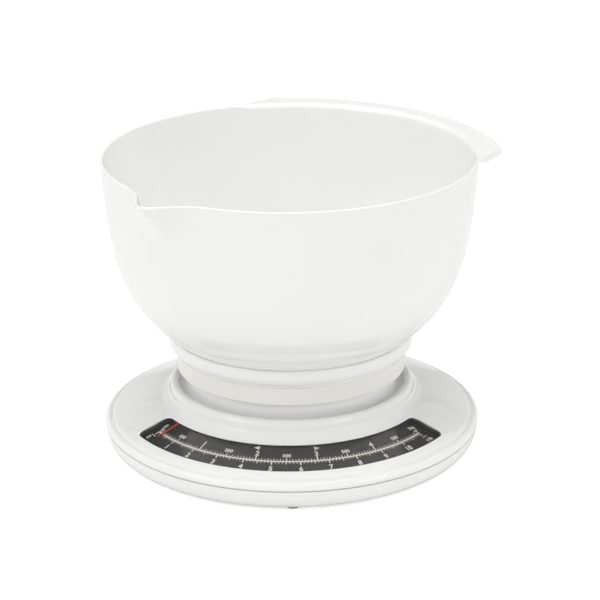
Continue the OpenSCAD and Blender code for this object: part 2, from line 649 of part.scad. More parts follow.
module top_shell() color(white) difference() {
    union() {
        difference() {
            rotate_extrude($fn = fine) polygon(concat(shell_outer, shell_inner));
            for (a = dish_at) rotate([0, 0, a]) translate([dish_pos_r, 0, face_at(dish_pos_r)])
                rotate([0, atan(face_rise), 0])
                finger_dish();
            linear_extrude(height = 80) polygon(sector(window_in, window_out, window_from, window_to,
                window_corner));
            intersection() {
                under_face(window_in - 4, window_out + 4, shell_wall - lens_t, 12);
                linear_extrude(height = 80) polygon(sector(window_in - lens_lap - 0.2,
                    window_out + lens_lap + 0.2,
                    window_from - 1.2, window_to + 1.2, window_corner));
            }
        }
        intersection() {
            at_polar(shell_screw_r, shell_screw_at) disc(3.6, floor_top + 5, 40);
            under_face(window_in - 10, face_r, shell_wall / 2, 40);
        }
    }
    at_polar(shell_screw_r, shell_screw_at) disc(screw_r + hole_play, 0,
        face_at(shell_screw_r) - shell_wall);
}
dish_ball = (dish_r * dish_r + dish_depth * dish_depth) / (2 * dish_depth);
dish_angle = asin(dish_r / dish_ball);
module finger_dish() {
    rotate_extrude($fn = 64) polygon(concat(
        [for (i = [0:6]) let (a = i * dish_angle / 6)
            [dish_ball * sin(a), dish_ball * (1 - cos(a)) - dish_depth]],
        [[dish_r, 1.5], [0, 1.5]]));
}

// ------------------------------------------------------------ base tray
tray_edge_h = parting_z - seam - tray_z;
rib_r = 80;
function tray_curve(inset) = [for (a = [0:10:90])
    [base_r - 8.5 + (8.1 - inset) * sin(a), tray_z + inset + (tray_edge_h - inset) * (1 - cos(a))]];
module base_tray() color(white) difference() {
    union() {
        rotate_extrude($fn = fine) polygon(concat([[0, tray_z]], tray_curve(0),
            [for (i = [9:-1:0]) tray_curve(tray_wall)[i]], [[0, floor_top]]));
        ring(base_r - 4.4, base_r - 3.4, floor_top + 4, parting_z + 1.8);
        ring(base_r - 4.4, base_r - 2.2, floor_top + 3, parting_z - seam);
        at_polar(shell_screw_r, shell_screw_at) disc(5, tray_z, floor_top + 4.8);
        for (p = frame_holes) translate([p[0], p[1], 0]) disc(5, tray_z, frame_z);
        at_polar(dial_ear_r, dial_ears) disc(3, tray_z, ear_z(dial_ear_r + 3) - 0.05);
        ring(rib_r, rib_r + 1.4, floor_top - 0.5, frame_z - 0.3);
    }
    at_polar(shell_screw_r, shell_screw_at) {
        disc(head_r + 0.3, 0, tray_z + 2.4);
        disc(screw_r + 0.4, 0, 20);
    }
    for (p = frame_holes) translate([p[0], p[1], 0]) {
        disc(head_r + 0.3, 0, tray_z + 1.6);
        disc(screw_r + 0.6, 0, 20);
    }
    at_dial_ears() disc(screw_r + hole_play, -8, 5);
    at_polar(foot_pos_r, foot_at) disc(foot_r + hole_play, 0, tray_z + 0.8);
}
module shell_screws() color(steel) {
    at_polar(shell_screw_r, shell_screw_at) screw_up(screw_r, head_r, tray_z + 0.4, tray_z + 2.4,
        floor_top + 14);
}
module feet() color(grip) {
    at_polar(foot_pos_r, foot_at) rotate_extrude($fn = 48)
        polygon([[0, 0], [foot_r - 1, 0], [foot_r - 0.3, 0.3], [foot_r, 1], [foot_r, tray_z + 0.8],
            [0, tray_z + 0.8]]);
}

bowl();
platform_cup();
platform_skirt();
platform_screws();
zero_knob();
zero_yoke();
carrier();
rack();
rack_screws();
upper_carrier_pins();
lower_carrier_pins();
upper_arm();
lower_arm();
upper_frame_pin();
lower_frame_pin();
pin_clips();
spring_posts();
spring_left();
spring_right();
mechanism_frame();
frame_screws();
gear_bracket();
bracket_screws();
drive_wheel();
drive_shaft();
shaft_clip();
spindle();
spindle_pinion();
spindle_bridge();
bridge_screws();
pointer();
dial_plate();
dial_screws();
window_lens();
top_shell();
base_tray();
shell_screws();
feet();
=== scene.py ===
"""Looks of a mechanical kitchen scale: a mixing bowl on a sprung platform over a round base with a dial."""

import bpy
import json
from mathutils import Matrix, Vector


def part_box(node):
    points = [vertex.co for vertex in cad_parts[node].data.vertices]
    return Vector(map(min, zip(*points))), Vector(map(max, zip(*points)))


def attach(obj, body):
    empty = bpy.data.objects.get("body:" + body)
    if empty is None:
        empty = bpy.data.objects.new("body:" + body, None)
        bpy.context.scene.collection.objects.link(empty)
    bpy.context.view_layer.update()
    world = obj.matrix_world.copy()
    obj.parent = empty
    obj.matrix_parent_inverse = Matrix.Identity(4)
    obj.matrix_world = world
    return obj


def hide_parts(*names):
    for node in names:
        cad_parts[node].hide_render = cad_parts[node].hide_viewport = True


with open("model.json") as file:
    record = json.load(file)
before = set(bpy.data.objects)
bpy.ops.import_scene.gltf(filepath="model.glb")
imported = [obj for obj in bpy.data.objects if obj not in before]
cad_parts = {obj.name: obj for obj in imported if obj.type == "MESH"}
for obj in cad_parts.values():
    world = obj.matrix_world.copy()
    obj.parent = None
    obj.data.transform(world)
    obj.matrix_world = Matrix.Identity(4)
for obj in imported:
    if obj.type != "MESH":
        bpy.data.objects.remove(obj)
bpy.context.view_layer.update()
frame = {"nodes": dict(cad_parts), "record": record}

import json
import logging
import math
from collections.abc import Callable, Sequence
from dataclasses import dataclass
from enum import Enum

import bmesh
import bpy
from mathutils import Matrix, Vector

log = logging.getLogger("kitchen_scale")
MM = 0.001
SHARP = math.radians(42)
WELD_MM = 0.004
SCALE_KILOS = 5
SCALE_POUNDS = 11.0231
Outline = list[tuple[float, float]]


class Body(Enum):
    """Bodies of the frame on which the pieces ride."""

    BASE = "base"
    PLATFORM = "platform"
    BOWL = "bowl"
    SPINDLE = "spindle"


# ------------------------------------------------------------------ finishes
def linear(colour: str) -> tuple[float, float, float, float]:
    """Turns an sRGB hex colour into linear light.

    Args:
        colour: Six hex digits, such as "F2F1EE".

    Returns:
        Red, green, blue and alpha.
    """
    parts = [int(colour[i:i + 2], 16) / 255 for i in (0, 2, 4)]
    light = [c / 12.92 if c <= 0.04045 else ((c + 0.055) / 1.055) ** 2.4 for c in parts]
    return light[0], light[1], light[2], 1.0


def add_node(tree: bpy.types.NodeTree, kind: str, settings: dict | None = None,
             links: dict | None = None) -> bpy.types.Node:
    """Adds one node with its settings and its incoming links.

    Args:
        tree: The material's or the geometry's tree.
        kind: Blender's name of the node type.
        settings: Values by socket name or number, or by property name.
        links: Source sockets by the name or number of the socket they feed.

    Returns:
        The new node.
    """
    made = tree.nodes.new(kind)
    for key, value in (settings or {}).items():
        if isinstance(key, int) or key in made.inputs:
            made.inputs[key].default_value = value
        else:
            setattr(made, key, value)
    for key, source in (links or {}).items():
        tree.links.new(source, made.inputs[key])
    return made


@dataclass(frozen=True)
class Finish:
    """A material with its shade, its gloss and the relief of its surface.

    Attributes:
        name: What the real material is and how its surface was made.
        slot: The record's material slot.
        colour: Main colour as sRGB hex.
        shade: Second colour that drifts slowly into the main one.
        roughness: Mean roughness.
        spread: Rise and fall of the roughness.
        grain_mm: Size of the relief's grains.
        relief: Strength of the relief, 0 to 1.
        drift_mm: Size of the patches in which the shade drifts.
        stretch: How much longer than wide the grains are, along X.
        metallic: 1 for a bare metal.
        ior: Refractive index.
        coat: Weight of a clear top layer.
        clearness: Share of light that passes through.
    """

    name: str
    slot: str
    colour: str
    shade: str
    roughness: float
    spread: float = 0.04
    grain_mm: float = 0.9
    relief: float = 0.02
    drift_mm: float = 60.0
    stretch: float = 1.0
    metallic: float = 0.0
    ior: float = 1.5
    coat: float = 0.0
    clearness: float = 0.0

    def material(self) -> bpy.types.Material:
        """Builds the material once, and returns the same one afterwards.

        Returns:
            The material.
        """
        found = bpy.data.materials.get(self.name)
        if found:
            return found
        made = bpy.data.materials.new(self.name)
        made.use_nodes = True
        tree = made.node_tree
        tree.nodes.clear()
        place = add_node(tree, "ShaderNodeTexCoord")
        turned = add_node(tree, "ShaderNodeMapping", {"Scale": (1 / self.stretch, 1, 1)},
                          {"Vector": place.outputs["Object"]})
        drift = add_node(tree, "ShaderNodeTexNoise", {"Scale": 1 / (self.drift_mm * MM), "Detail": 3.0},
                         {"Vector": turned.outputs["Vector"]})
        grain = add_node(tree, "ShaderNodeTexNoise", {"Scale": 1 / (self.grain_mm * MM), "Detail": 2.0},
                         {"Vector": turned.outputs["Vector"]})
        tint = add_node(tree, "ShaderNodeMix",
                        {"data_type": "RGBA", 6: linear(self.colour), 7: linear(self.shade)},
                        {0: drift.outputs["Fac"]})
        gloss = add_node(tree, "ShaderNodeMapRange",
                         {"To Min": self.roughness - self.spread, "To Max": self.roughness + self.spread},
                         {"Value": drift.outputs["Fac"]})
        bump = add_node(tree, "ShaderNodeBump", {"Strength": self.relief, "Distance": 0.1 * MM},
                        {"Height": grain.outputs["Fac"]})
        shader = add_node(tree, "ShaderNodeBsdfPrincipled",
                          {"Metallic": self.metallic, "IOR": self.ior, "Coat Weight": self.coat,
                           "Transmission Weight": self.clearness},
                          {"Base Color": tint.outputs[2], "Roughness": gloss.outputs["Result"],
                           "Normal": bump.outputs["Normal"]})
        surface = shader.outputs["BSDF"]
        if self.clearness:
            ray = add_node(tree, "ShaderNodeLightPath")
            clear = add_node(tree, "ShaderNodeBsdfTransparent")
            surface = add_node(tree, "ShaderNodeMixShader", links={
                0: ray.outputs["Is Shadow Ray"], 1: surface, 2: clear.outputs[0]}).outputs[0]
        add_node(tree, "ShaderNodeOutputMaterial", links={"Surface": surface})
        return made


# Moulded in a polished tool: an even, high gloss with a very faint orange peel
WHITE_ABS = Finish("white_ABS_polished_mould", "white_plastic", "F2F2F1", "F0F0EF", 0.09, 0.02, 1.6, 0.008)
# The same polymer from a satin tool, slightly warmer, with a softer highlight
CREAM_ABS = Finish("cream_ABS_satin_mould", "cream_plastic", "EBEAE5", "E8E7E1", 0.3, 0.04, 0.7, 0.03)
# Knobs are moulded with a spark-eroded texture that scatters the highlight
GREY_ABS = Finish("grey_ABS_spark_texture", "grey_plastic", "6B6D70", "5F6164", 0.5, 0.05, 0.35, 0.2)
# Clear styrene, moulded: sharp reflections and a trace of warmth in its depth
CLEAR_STYRENE = Finish("clear_styrene_lens", "clear_lens", "FBFAF7", "F8F6F1", 0.03, 0.01, 6.0, 0.01,
                       ior=1.49, clearness=1.0)
# Screen-printed black on sheet, satin, with the faint mottle of the ink
BLACK_INK = Finish("black_screen_print", "black_print", "0D0D0E", "131313", 0.5, 0.05, 0.3, 0.05, 20, ior=1.3)
# Raised white ink, matt and opaque
WHITE_INK = Finish("white_screen_print", "black_print", "F3F2EE", "EBEAE5", 0.6, 0.04, 0.25, 0.06, 8)
# Red lacquer sprayed on the pointer blade
RED_LACQUER = Finish("red_lacquer_on_steel", "red_paint", "C8241C", "B81E18", 0.28, 0.05, 0.4, 0.03, 12,
                     coat=0.4)
# Moulded thermoplastic rubber with a dry, even surface
GREY_RUBBER = Finish("grey_moulded_rubber", "grey_rubber", "B9B8B4", "ABAAA6", 0.75, 0.05, 0.4, 0.25, 10)
# Rolled sheet, zinc plated: long fine rolling marks
SHEET_STEEL = Finish("zinc_plated_sheet", "sheet_steel", "BFC2C6", "AEB2B6", 0.34, 0.08, 0.35, 0.12, 15, 9, 1)
# Turned and plated fasteners, brighter than the sheet
BRIGHT_STEEL = Finish("bright_zinc_turned", "zinc_steel", "CDCFD2", "BEC0C4", 0.22, 0.06, 0.2, 0.08, 6, 2, 1)
# Drawn spring wire, oiled and dark
SPRING_STEEL = Finish("drawn_spring_wire", "spring_steel", "8C8F93", "787B80", 0.3, 0.06, 0.25, 0.1, 4, 6, 1)
# Hobbed brass, yellow with a slight brown bloom
BRASS = Finish("hobbed_brass", "gear_brass", "D9B05E", "BE9347", 0.28, 0.08, 0.3, 0.08, 7, 1, 1)


# ------------------------------------------------------------- mesh building
def arc_points(cx: float, cz: float, r: float, start: float, end: float, steps: int) -> Outline:
    """Points along an arc, in degrees from the outward direction.

    Args:
        cx: Radius of the arc's centre.
        cz: Height of the arc's centre.
        r: Radius of the arc.
        start: First direction.
        end: Last direction.
        steps: Number of steps between them.

    Returns:
        The points, both ends included.
    """
    turns = [math.radians(start + (end - start) * i / steps) for i in range(steps + 1)]
    return [(cx + r * math.cos(t), cz + r * math.sin(t)) for t in turns]


def spline(points: Sequence[tuple[float, float]], steps: int = 4) -> Outline:
    """A smooth run through all the points.

    Args:
        points: The points to pass through.
        steps: Pieces between two of them.

    Returns:
        The smooth run, both ends included.
    """
    guard = [points[0], *points, points[-1]]
    run: Outline = []
    for a, b, c, d in zip(guard, guard[1:], guard[2:], guard[3:]):
        for i in range(steps):
            t = i / steps
            run.append(tuple(0.5 * (2 * q + (r - p) * t + (2 * p - 5 * q + 4 * r - s) * t * t
                                    + (3 * q - p - 3 * r + s) * t ** 3) for p, q, r, s in zip(a, b, c, d)))
    return [*run, points[-1]]


def bezier(p: Sequence[tuple[float, float]], steps: int) -> Outline:
    """A cubic curve.

    Args:
        p: Its four control points.
        steps: Number of pieces.

    Returns:
        The points, both ends included.
    """
    run: Outline = []
    for i in range(steps + 1):
        t, u = i / steps, 1 - i / steps
        weights = (u ** 3, 3 * u * u * t, 3 * u * t * t, t ** 3)
        run.append(tuple(sum(w * q[k] for w, q in zip(weights, p)) for k in (0, 1)))
    return run


def rounded(corners: Sequence[tuple[float, float, float]], closed: bool = False, steps: int = 5) -> Outline:
    """An outline whose corners are rounded, with a support point beside each rounding.

    Args:
        corners: Radius, height and fillet of each corner.
        closed: Whether the last corner joins the first.
        steps: Pieces of each rounding.

    Returns:
        The outline's points.
    """
    count, run = len(corners), []
    for i, (r, z, fillet) in enumerate(corners):
        here = Vector((r, z))
        if fillet <= 0 or (not closed and i in (0, count - 1)):
            run.append((r, z))
            continue
        before, after = (Vector(corners[(i + k) % count][:2]) - here for k in (-1, 1))
        cut = min(fillet, before.length * 0.45, after.length * 0.45)
        first, last = here + before.normalized() * cut, here + after.normalized() * cut
        run.append(tuple(first + before.normalized() * cut * 0.2))
        for k in range(steps + 1):
            t = k / steps
            run.append(tuple(first * (1 - t) ** 2 + here * 2 * t * (1 - t) + last * t * t))
        run.append(tuple(last + after.normalized() * cut * 0.2))
    return run


class Shape:
    """Vertices in millimetres and faces that become one mesh object."""

    def __init__(self) -> None:
        """Starts with nothing."""
        self.points: list[tuple[float, float, float]] = []
        self.faces: list[tuple[int, ...]] = []

    def add(self, x: float, y: float, z: float) -> int:
        """Adds a vertex and returns its number."""
        self.points.append((x, y, z))
        return len(self.points) - 1

    def add_polar(self, r: float, angle: float, z: float) -> int:
        """Adds a vertex at a radius and a direction in degrees, and returns its number."""
        t = math.radians(angle)
        return self.add(r * math.cos(t), r * math.sin(t), z)

    def lathe(self, outline: Outline | Callable[[float], Outline], angles: Sequence[float],
              loop: bool = False) -> list[list[int]]:
        """Turns an outline round the Z axis.

        Args:
            outline: The outline, or a function that gives it for a direction in degrees.
            angles: The directions, rising, over a whole turn.
            loop: Whether the outline's last point joins its first.

        Returns:
            The vertex numbers, a list for each direction.
        """
        poles: dict[int, int] = {}
        columns: list[list[int]] = []
        for angle in angles:
            column = []
            for k, (r, z) in enumerate(outline(angle) if callable(outline) else outline):
                if r < 1e-6:
                    if k not in poles:
                        poles[k] = self.add(0, 0, z)
                    column.append(poles[k])
                else:
                    column.append(self.add_polar(r, angle, z))
            columns.append(column)
        for left, right in zip(columns, [*columns[1:], columns[0]]):
            count = len(left)
            for k in range(count if loop else count - 1):
                n = (k + 1) % count
                face = [left[k], right[k], right[n], left[n]]
                face = [v for i, v in enumerate(face) if v != face[i - 1]]
                if len(face) > 2:
                    self.faces.append(tuple(face))
        return columns

    def to_mesh(self, name: str, weld: bool = True) -> bpy.types.Mesh:
        """Makes a mesh in metres whose faces look outwards.

        Args:
            name: Name of the mesh.
            weld: Whether vertices that coincide are joined and loose ones dropped.

        Returns:
            The mesh.
        """
        mesh = bpy.data.meshes.new(name)
        mesh.from_pydata([tuple(c * MM for c in p) for p in self.points], [], self.faces)
        bm = bmesh.new()
        bm.from_mesh(mesh)
        if weld:
            bmesh.ops.remove_doubles(bm, verts=bm.verts, dist=WELD_MM * MM)
            loose = [v for v in bm.verts if not v.link_faces]
            bmesh.ops.delete(bm, geom=loose, context="VERTS")
        bmesh.ops.recalc_face_normals(bm, faces=bm.faces)
        bm.to_mesh(mesh)
        bm.free()
        return mesh

    def build(self, name: str, finish: Finish, body: Body, node: str | None = None,
              level: bool = True) -> bpy.types.Object:
        """Makes the object, turns its faces outwards, dresses it and lets it ride.

        Args:
            name: Name of the piece.
            finish: What it is made of.
            body: The body it rides on.
            node: The node of the frame for which it stands.
            level: Whether nearly flat edges are shaded smooth.

        Returns:
            The finished object.
        """
        return dress(self.to_mesh(name), name, finish, body, node, level)


def dress(mesh: bpy.types.Mesh, name: str, finish: Finish, body: Body, node: str | None = None,
          level: bool = True) -> bpy.types.Object:
    """Links a mesh as a piece, with its finish and its body.

    Args:
        mesh: The mesh, in the frame and in metres.
        name: Name of the piece.
        finish: What it is made of.
        body: The body it rides on.
        node: The node of the frame for which it stands.
        level: Whether nearly flat edges are shaded smooth.

    Returns:
        The finished object.
    """
    mesh.materials.clear()
    mesh.materials.append(finish.material())
    if level:
        mesh.shade_smooth()
        mesh.set_sharp_from_angle(angle=SHARP)
    piece = bpy.data.objects.new(name, mesh)
    bpy.context.scene.collection.objects.link(piece)
    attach(piece, body.value)
    if node:
        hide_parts(node)
    log.info("%s: %d faces, %s, on %s", name, len(mesh.polygons), finish.name, body.value)
    return piece


def even_angles(count: int) -> list[float]:
    """Directions of a whole turn, in degrees."""
    return [360 * i / count for i in range(count)]


@dataclass
class Bore:
    """A stepped hole in a flat plate, as an outline from the lower face to the upper one."""

    x: float
    y: float
    outline: Outline


def bored_plate(shape: Shape, radius: float, low: float, high: float, bores: Sequence[Bore],
                segments: int) -> None:
    """Adds the two flat faces of a round plate and the walls of its holes.

    Args:
        shape: What to add to.
        radius: Outer radius, the same as that of the wall it joins.
        low: Height of the lower face.
        high: Height of the upper face.
        bores: The holes.
        segments: Number of sides of the outer edge.
    """
    side = 36
    for level, end in ((low, 0), (high, -1)):
        bm = bmesh.new()
        loops = [(0.0, 0.0, radius, segments)] + [(b.x, b.y, b.outline[end][0], side) for b in bores]
        for x, y, r, count in loops:
            turns = [math.tau * i / count for i in range(count)]
            ring = [bm.verts.new((x + r * math.cos(t), y + r * math.sin(t), level)) for t in turns]
            for a, b in zip(ring, [*ring[1:], ring[0]]):
                bm.edges.new((a, b))
        bmesh.ops.triangle_fill(bm, edges=bm.edges, use_beauty=True, normal=(0, 0, 1))
        bm.verts.index_update()
        first = len(shape.points)
        shape.points += [tuple(v.co) for v in bm.verts]
        shape.faces += [tuple(first + v.index for v in f.verts) for f in bm.faces]
        bm.free()
    for bore in bores:
        first = len(shape.points)
        wall = Shape()
        wall.lathe(bore.outline, even_angles(side))
        shape.points += [(x + bore.x, y + bore.y, z) for x, y, z in wall.points]
        shape.faces += [tuple(first + v for v in f) for f in wall.faces]


# ------------------------------------------------------------- shared levels
@dataclass
class Plan:
    """Levels and radii that several pieces share, in millimetres, from the frame."""

    parting_z: float = 14.5
    face_rise: float = 0.35
    rim_w: float = 5.6
    window_margin: float = 5.5
    window_w: float = 21.2
    window_from: float = 206.5
    window_to: float = 331.0
    window_corner: float = 5.0
    dial_drop: float = 4.0
    zero_at: float = 210.3
    sweep: float = 115.15

    def __post_init__(self) -> None:
        """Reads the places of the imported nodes."""
        tray_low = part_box("base_tray")[0] / MM
        shell_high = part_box("top_shell")[1] / MM
        skirt_low, skirt_high = (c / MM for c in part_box("platform_skirt"))
        cup_low, cup_high = (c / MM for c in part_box("platform_cup"))
        bowl_low, bowl_high = (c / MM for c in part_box("bowl"))
        self.base_r, self.tray_z = shell_high.x, tray_low.z
        self.upstand_z = shell_high.z
        self.face_r = self.base_r - self.rim_w
        self.face_z = self.parting_z + 6.6
        self.skirt_r, self.skirt_z, self.skirt_top = skirt_high.x, skirt_low.z, skirt_high.z
        self.floor_z, self.lip_r, self.lip_z = cup_low.z, cup_high.x, cup_high.z
        self.cup_top = self.skirt_top + 0.1
        self.bowl_foot_z, self.rim_z = bowl_low.z, bowl_high.z
        self.collar_in = self.skirt_r - 0.5
        self.collar_out = self.collar_in + 5.6
        self.collar_z = self.parting_z + 26.7
        self.window_out = self.face_r - self.window_margin
        self.window_in = self.window_out - self.window_w

    def face_at(self, r: float) -> float:
        """Height of the sloping top face at a radius."""
        return self.face_z + (self.face_r - r) * self.face_rise

    def window_gap(self, x: float, y: float) -> float:
        """Distance from a point to the window's rounded outline.

        Args:
            x: Place of the point along X.
            y: Its place along Y.

        Returns:
            The distance, negative inside the window.
        """
        r = math.hypot(x, y)
        middle, half = (self.window_from + self.window_to) / 2, (self.window_to - self.window_from) / 2
        turn = (math.degrees(math.atan2(y, x)) - middle + 180) % 360 - 180
        c = self.window_corner
        side = math.radians(abs(turn) - half) * r + c
        depth = abs(r - (self.window_in + self.window_out) / 2) - self.window_w / 2 + c
        return math.hypot(max(side, 0), max(depth, 0)) + min(max(side, depth), 0) - c


# ---------------------------------------------------------------------- bowl
@dataclass
class MixingBowl:
    """The lift-off bowl with its spout, its handle ledge and its foot ring."""

    plan: Plan
    radius: float = 112.8
    wall: float = 1.8
    foot_r: float = 61.0
    foot_h: float = 3.6
    ledge_at: float = 50.0
    ledge_half: float = 45.0
    ledge_end: float = 58.0
    ledge_reach: float = 12.1
    ledge_tip: float = 3.2
    ledge_lip: float = 3.4
    spout_at: float = 230.0
    spout_reach: float = 18.3
    spout_half: float = 7.1
    spout_depth: float = 34.0
    segments: int = 240

    def ledge(self, angle: float) -> float:
        """How far the ledge stands out from the wall.

        Args:
            angle: The direction in degrees.

        Returns:
            The reach, 0 away from the ledge.
        """
        turn = abs((angle - self.ledge_at + 180) % 360 - 180)
        if turn <= self.ledge_half:
            return self.ledge_reach + self.ledge_tip * (turn / self.ledge_half) ** 2
        left = max(0.0, (self.ledge_end - turn) / (self.ledge_end - self.ledge_half))
        return (self.ledge_reach + self.ledge_tip) * left ** 1.3

    def spout(self, angle: float, z: float) -> float:
        """How far the spout pushes the wall out.

        Args:
            angle: The direction in degrees.
            z: The height.

        Returns:
            The reach, 0 away from the spout.
        """
        sink = (self.plan.rim_z - z) / self.spout_depth
        if sink >= 1:
            return 0.0
        turn = abs((angle - self.spout_at + 180) % 360 - 180)
        half = self.spout_half * (1 - 0.3 * max(sink, 0))
        return self.spout_reach * (1 - max(sink, 0)) ** 1.8 * math.exp(-(turn / half) ** 1.75)

    def wall_run(self, inset: float) -> Outline:
        """The wall from the rim down to the foot.

        Args:
            inset: How far it is moved inwards.

        Returns:
            The run's points.
        """
        rim, base = self.plan.rim_z, self.plan.bowl_foot_z + self.foot_h
        h = rim - base
        return bezier([(self.radius - inset, rim), (self.radius - 3.6 - inset, base + 0.438 * h),
                       (self.radius - 10.7 - inset, base + inset * 0.6 + 0.226 * h),
                       (self.foot_r - inset * 0.4, base + inset)], 56)

    def outline(self, angle: float) -> Outline:
        """The whole section, from under the centre to above it.

        Args:
            angle: The direction in degrees.

        Returns:
            The section's points, the same number in every direction.
        """
        rim, base = self.plan.rim_z, self.plan.bowl_foot_z + self.foot_h
        low = self.plan.bowl_foot_z
        foot = rounded([(0, base, 0), (self.foot_r - 4.4, base, 0.8), (self.foot_r - 4, low, 0.7),
                        (self.foot_r - 1.5, low, 0.7), (self.foot_r - 1.0, base - 0.2, 0.6),
                        (self.foot_r, base, 0)], steps=4)
        reach = self.ledge(angle)
        s = min(1.0, reach / 4)
        under = rim - self.wall
        outer = [(r + self.spout(angle, z), z) for r, z in reversed(self.wall_run(0)) if z < under - 2.6]
        wall_r = self.radius - 0.1 + self.spout(angle, rim)
        drop = self.ledge_lip * s
        edge = wall_r + reach
        ledge = [(wall_r, under - 2.2 * s), (wall_r + 0.08 * reach * s, under - 0.7 * s),
                 (wall_r + 0.22 * reach * s, under - 0.05 * s), (edge - 2.6 * s, under - 0.02 * s),
                 (edge - 1.8 * s, under - 0.3 * s), (edge - 1.5 * s, under - 1.0 * s),
                 (edge - 1.35 * s, under - drop + 0.3 * s), (edge - 0.9 * s, under - drop),
                 (edge - 0.3 * s, under - drop + 0.1 * s), (edge, under - drop + 0.6 * s), (edge, rim - 1.3)]
        crest = arc_points(edge - 0.9, rim - 0.9, 0.9, 10, 90, 6)
        inner_r = wall_r - self.wall
        fall = 0.9 + 2.4 * s
        start = inner_r + fall if reach > 0.4 else inner_r + 0.9
        flat = [(edge - 0.9 - 0.3 * s, rim - 0.02 * s),
                (start + (edge - 0.9 - start) * 0.3 * s, rim - 0.2 * s)]
        shoulder = [(inner_r + fall * (1 - math.sin(math.radians(15 * k))),
                     rim - 0.2 * s - fall * (1 - math.cos(math.radians(15 * k)))) for k in range(1, 7)]
        inner = [(r + self.spout(angle, z) * (1 - 0.05 * (rim - z) / self.spout_depth), z)
                 for r, z in self.wall_run(self.wall) if z < rim - 4.0]
        floor = self.plan.bowl_foot_z + self.foot_h + self.wall
        return [*foot, *outer[1:], *ledge, *crest, *flat, *shoulder, *inner, (self.foot_r * 0.6, floor - 0.2),
                (0, floor - 0.3)]

    def build(self) -> None:
        """Makes the bowl."""
        fine = {round(self.spout_at - 22 + 0.5 * k, 3) % 360 for k in range(89)}
        for side in (-1, 1):
            fine |= {round(self.ledge_at + side * (38 + 0.5 * k), 3) % 360 for k in range(45)}
        angles = sorted(fine.union(even_angles(self.segments)))
        shape = Shape()
        shape.lathe(self.outline, angles)
        shape.build("mixing_bowl", WHITE_ABS, Body.BOWL, "bowl")


# ------------------------------------------------------------------ platform
@dataclass
class Platform:
    """The cup that holds the bowl, and the skirt under its lip."""

    plan: Plan
    segments: int = 240
    wall: float = 2.0
    floor_r: float = 60.5
    knob_y: float = 26.0
    knob_r: float = 7.3
    screw_x: float = 22.0
    screw_rows: tuple[float, float] = (-8.0, 26.0)
    screw_r: float = 1.6

    def build_cup(self) -> None:
        """Makes the cup: bored floor, hollow side and rolled lip."""
        p = self.plan
        lip = spline([(p.skirt_r - 0.3, p.cup_top + 0.1), (p.skirt_r - 0.1, p.cup_top + 1.7),
                      (p.lip_r - 1.9, p.cup_top + 3.0), (p.lip_r - 0.5, p.cup_top + 5.4),
                      (p.lip_r, p.cup_top + 8.2), (p.lip_r - 0.1, p.lip_z - 1.6),
                      (p.lip_r - 0.6, p.lip_z - 0.5), (p.lip_r - 1.4, p.lip_z),
                      (p.lip_r - 2.3, p.lip_z - 0.7), (p.lip_r - 3.3, p.lip_z - 2.2),
                      (p.lip_r - 4.5, p.cup_top + 5.2), (p.lip_r - 6.3, p.cup_top + 2.0),
                      (p.lip_r - 9.9, p.cup_top + 0.1), (p.lip_r - 12, p.cup_top)], 5)
        side = p.skirt_r - self.wall - 0.1
        lower = rounded([(self.floor_r, p.floor_z, 0), (side, p.floor_z, 0.5), (side, p.cup_top - 0.1, 0),
                         (p.skirt_r - 0.4, p.cup_top - 0.1, 0)])
        shape = Shape()
        shape.lathe([*lower, *lip, (self.floor_r, p.cup_top)], even_angles(self.segments))
        hole = [(self.screw_r, p.floor_z), (self.screw_r, p.cup_top - 0.2), (self.screw_r + 0.2, p.cup_top)]
        bores = [Bore(x, y, hole) for x in (-self.screw_x, self.screw_x) for y in self.screw_rows]
        bores.append(Bore(0, self.knob_y, [(self.knob_r, p.floor_z), (self.knob_r, p.cup_top - 0.3),
                                           (self.knob_r + 0.3, p.cup_top)]))
        bored_plate(shape, self.floor_r, p.floor_z, p.cup_top, bores, self.segments)
        shape.build("platform_cup_moulding", WHITE_ABS, Body.PLATFORM, "platform_cup")

    def build_skirt(self) -> None:
        """Makes the skirt, a plain ring with eased edges."""
        p = self.plan
        shape = Shape()
        inner = p.skirt_r - self.wall
        section = rounded([(inner, p.skirt_z, 0.5), (p.skirt_r, p.skirt_z, 0.7),
                           (p.skirt_r, p.skirt_top, 0.5), (inner, p.skirt_top, 0.3)], closed=True)
        shape.lathe(section, even_angles(self.segments), loop=True)
        shape.build("platform_skirt_ring", CREAM_ABS, Body.PLATFORM, "platform_skirt")

    def build(self) -> None:
        """Makes both."""
        self.build_cup()
        self.build_skirt()


# --------------------------------------------------------------------- shell
@dataclass
class Dish:
    """A shallow oval finger rest in the top face."""

    radius: float
    angle: float
    depth: float = 1.1
    across: float = 13.3
    along: float = 17.5

    def sink(self, x: float, y: float) -> float:
        """How far the face is sunk.

        Args:
            x: Place of the point along X.
            y: Its place along Y.

        Returns:
            The depth, 0 outside the rest.
        """
        r = math.hypot(x, y)
        turn = (math.degrees(math.atan2(y, x)) - self.angle + 180) % 360 - 180
        share = math.hypot((r - self.radius) / self.across, math.radians(turn) * self.radius / self.along)
        if share >= 1:
            return 0.0
        return self.depth * (1 - share * share) ** 0.55


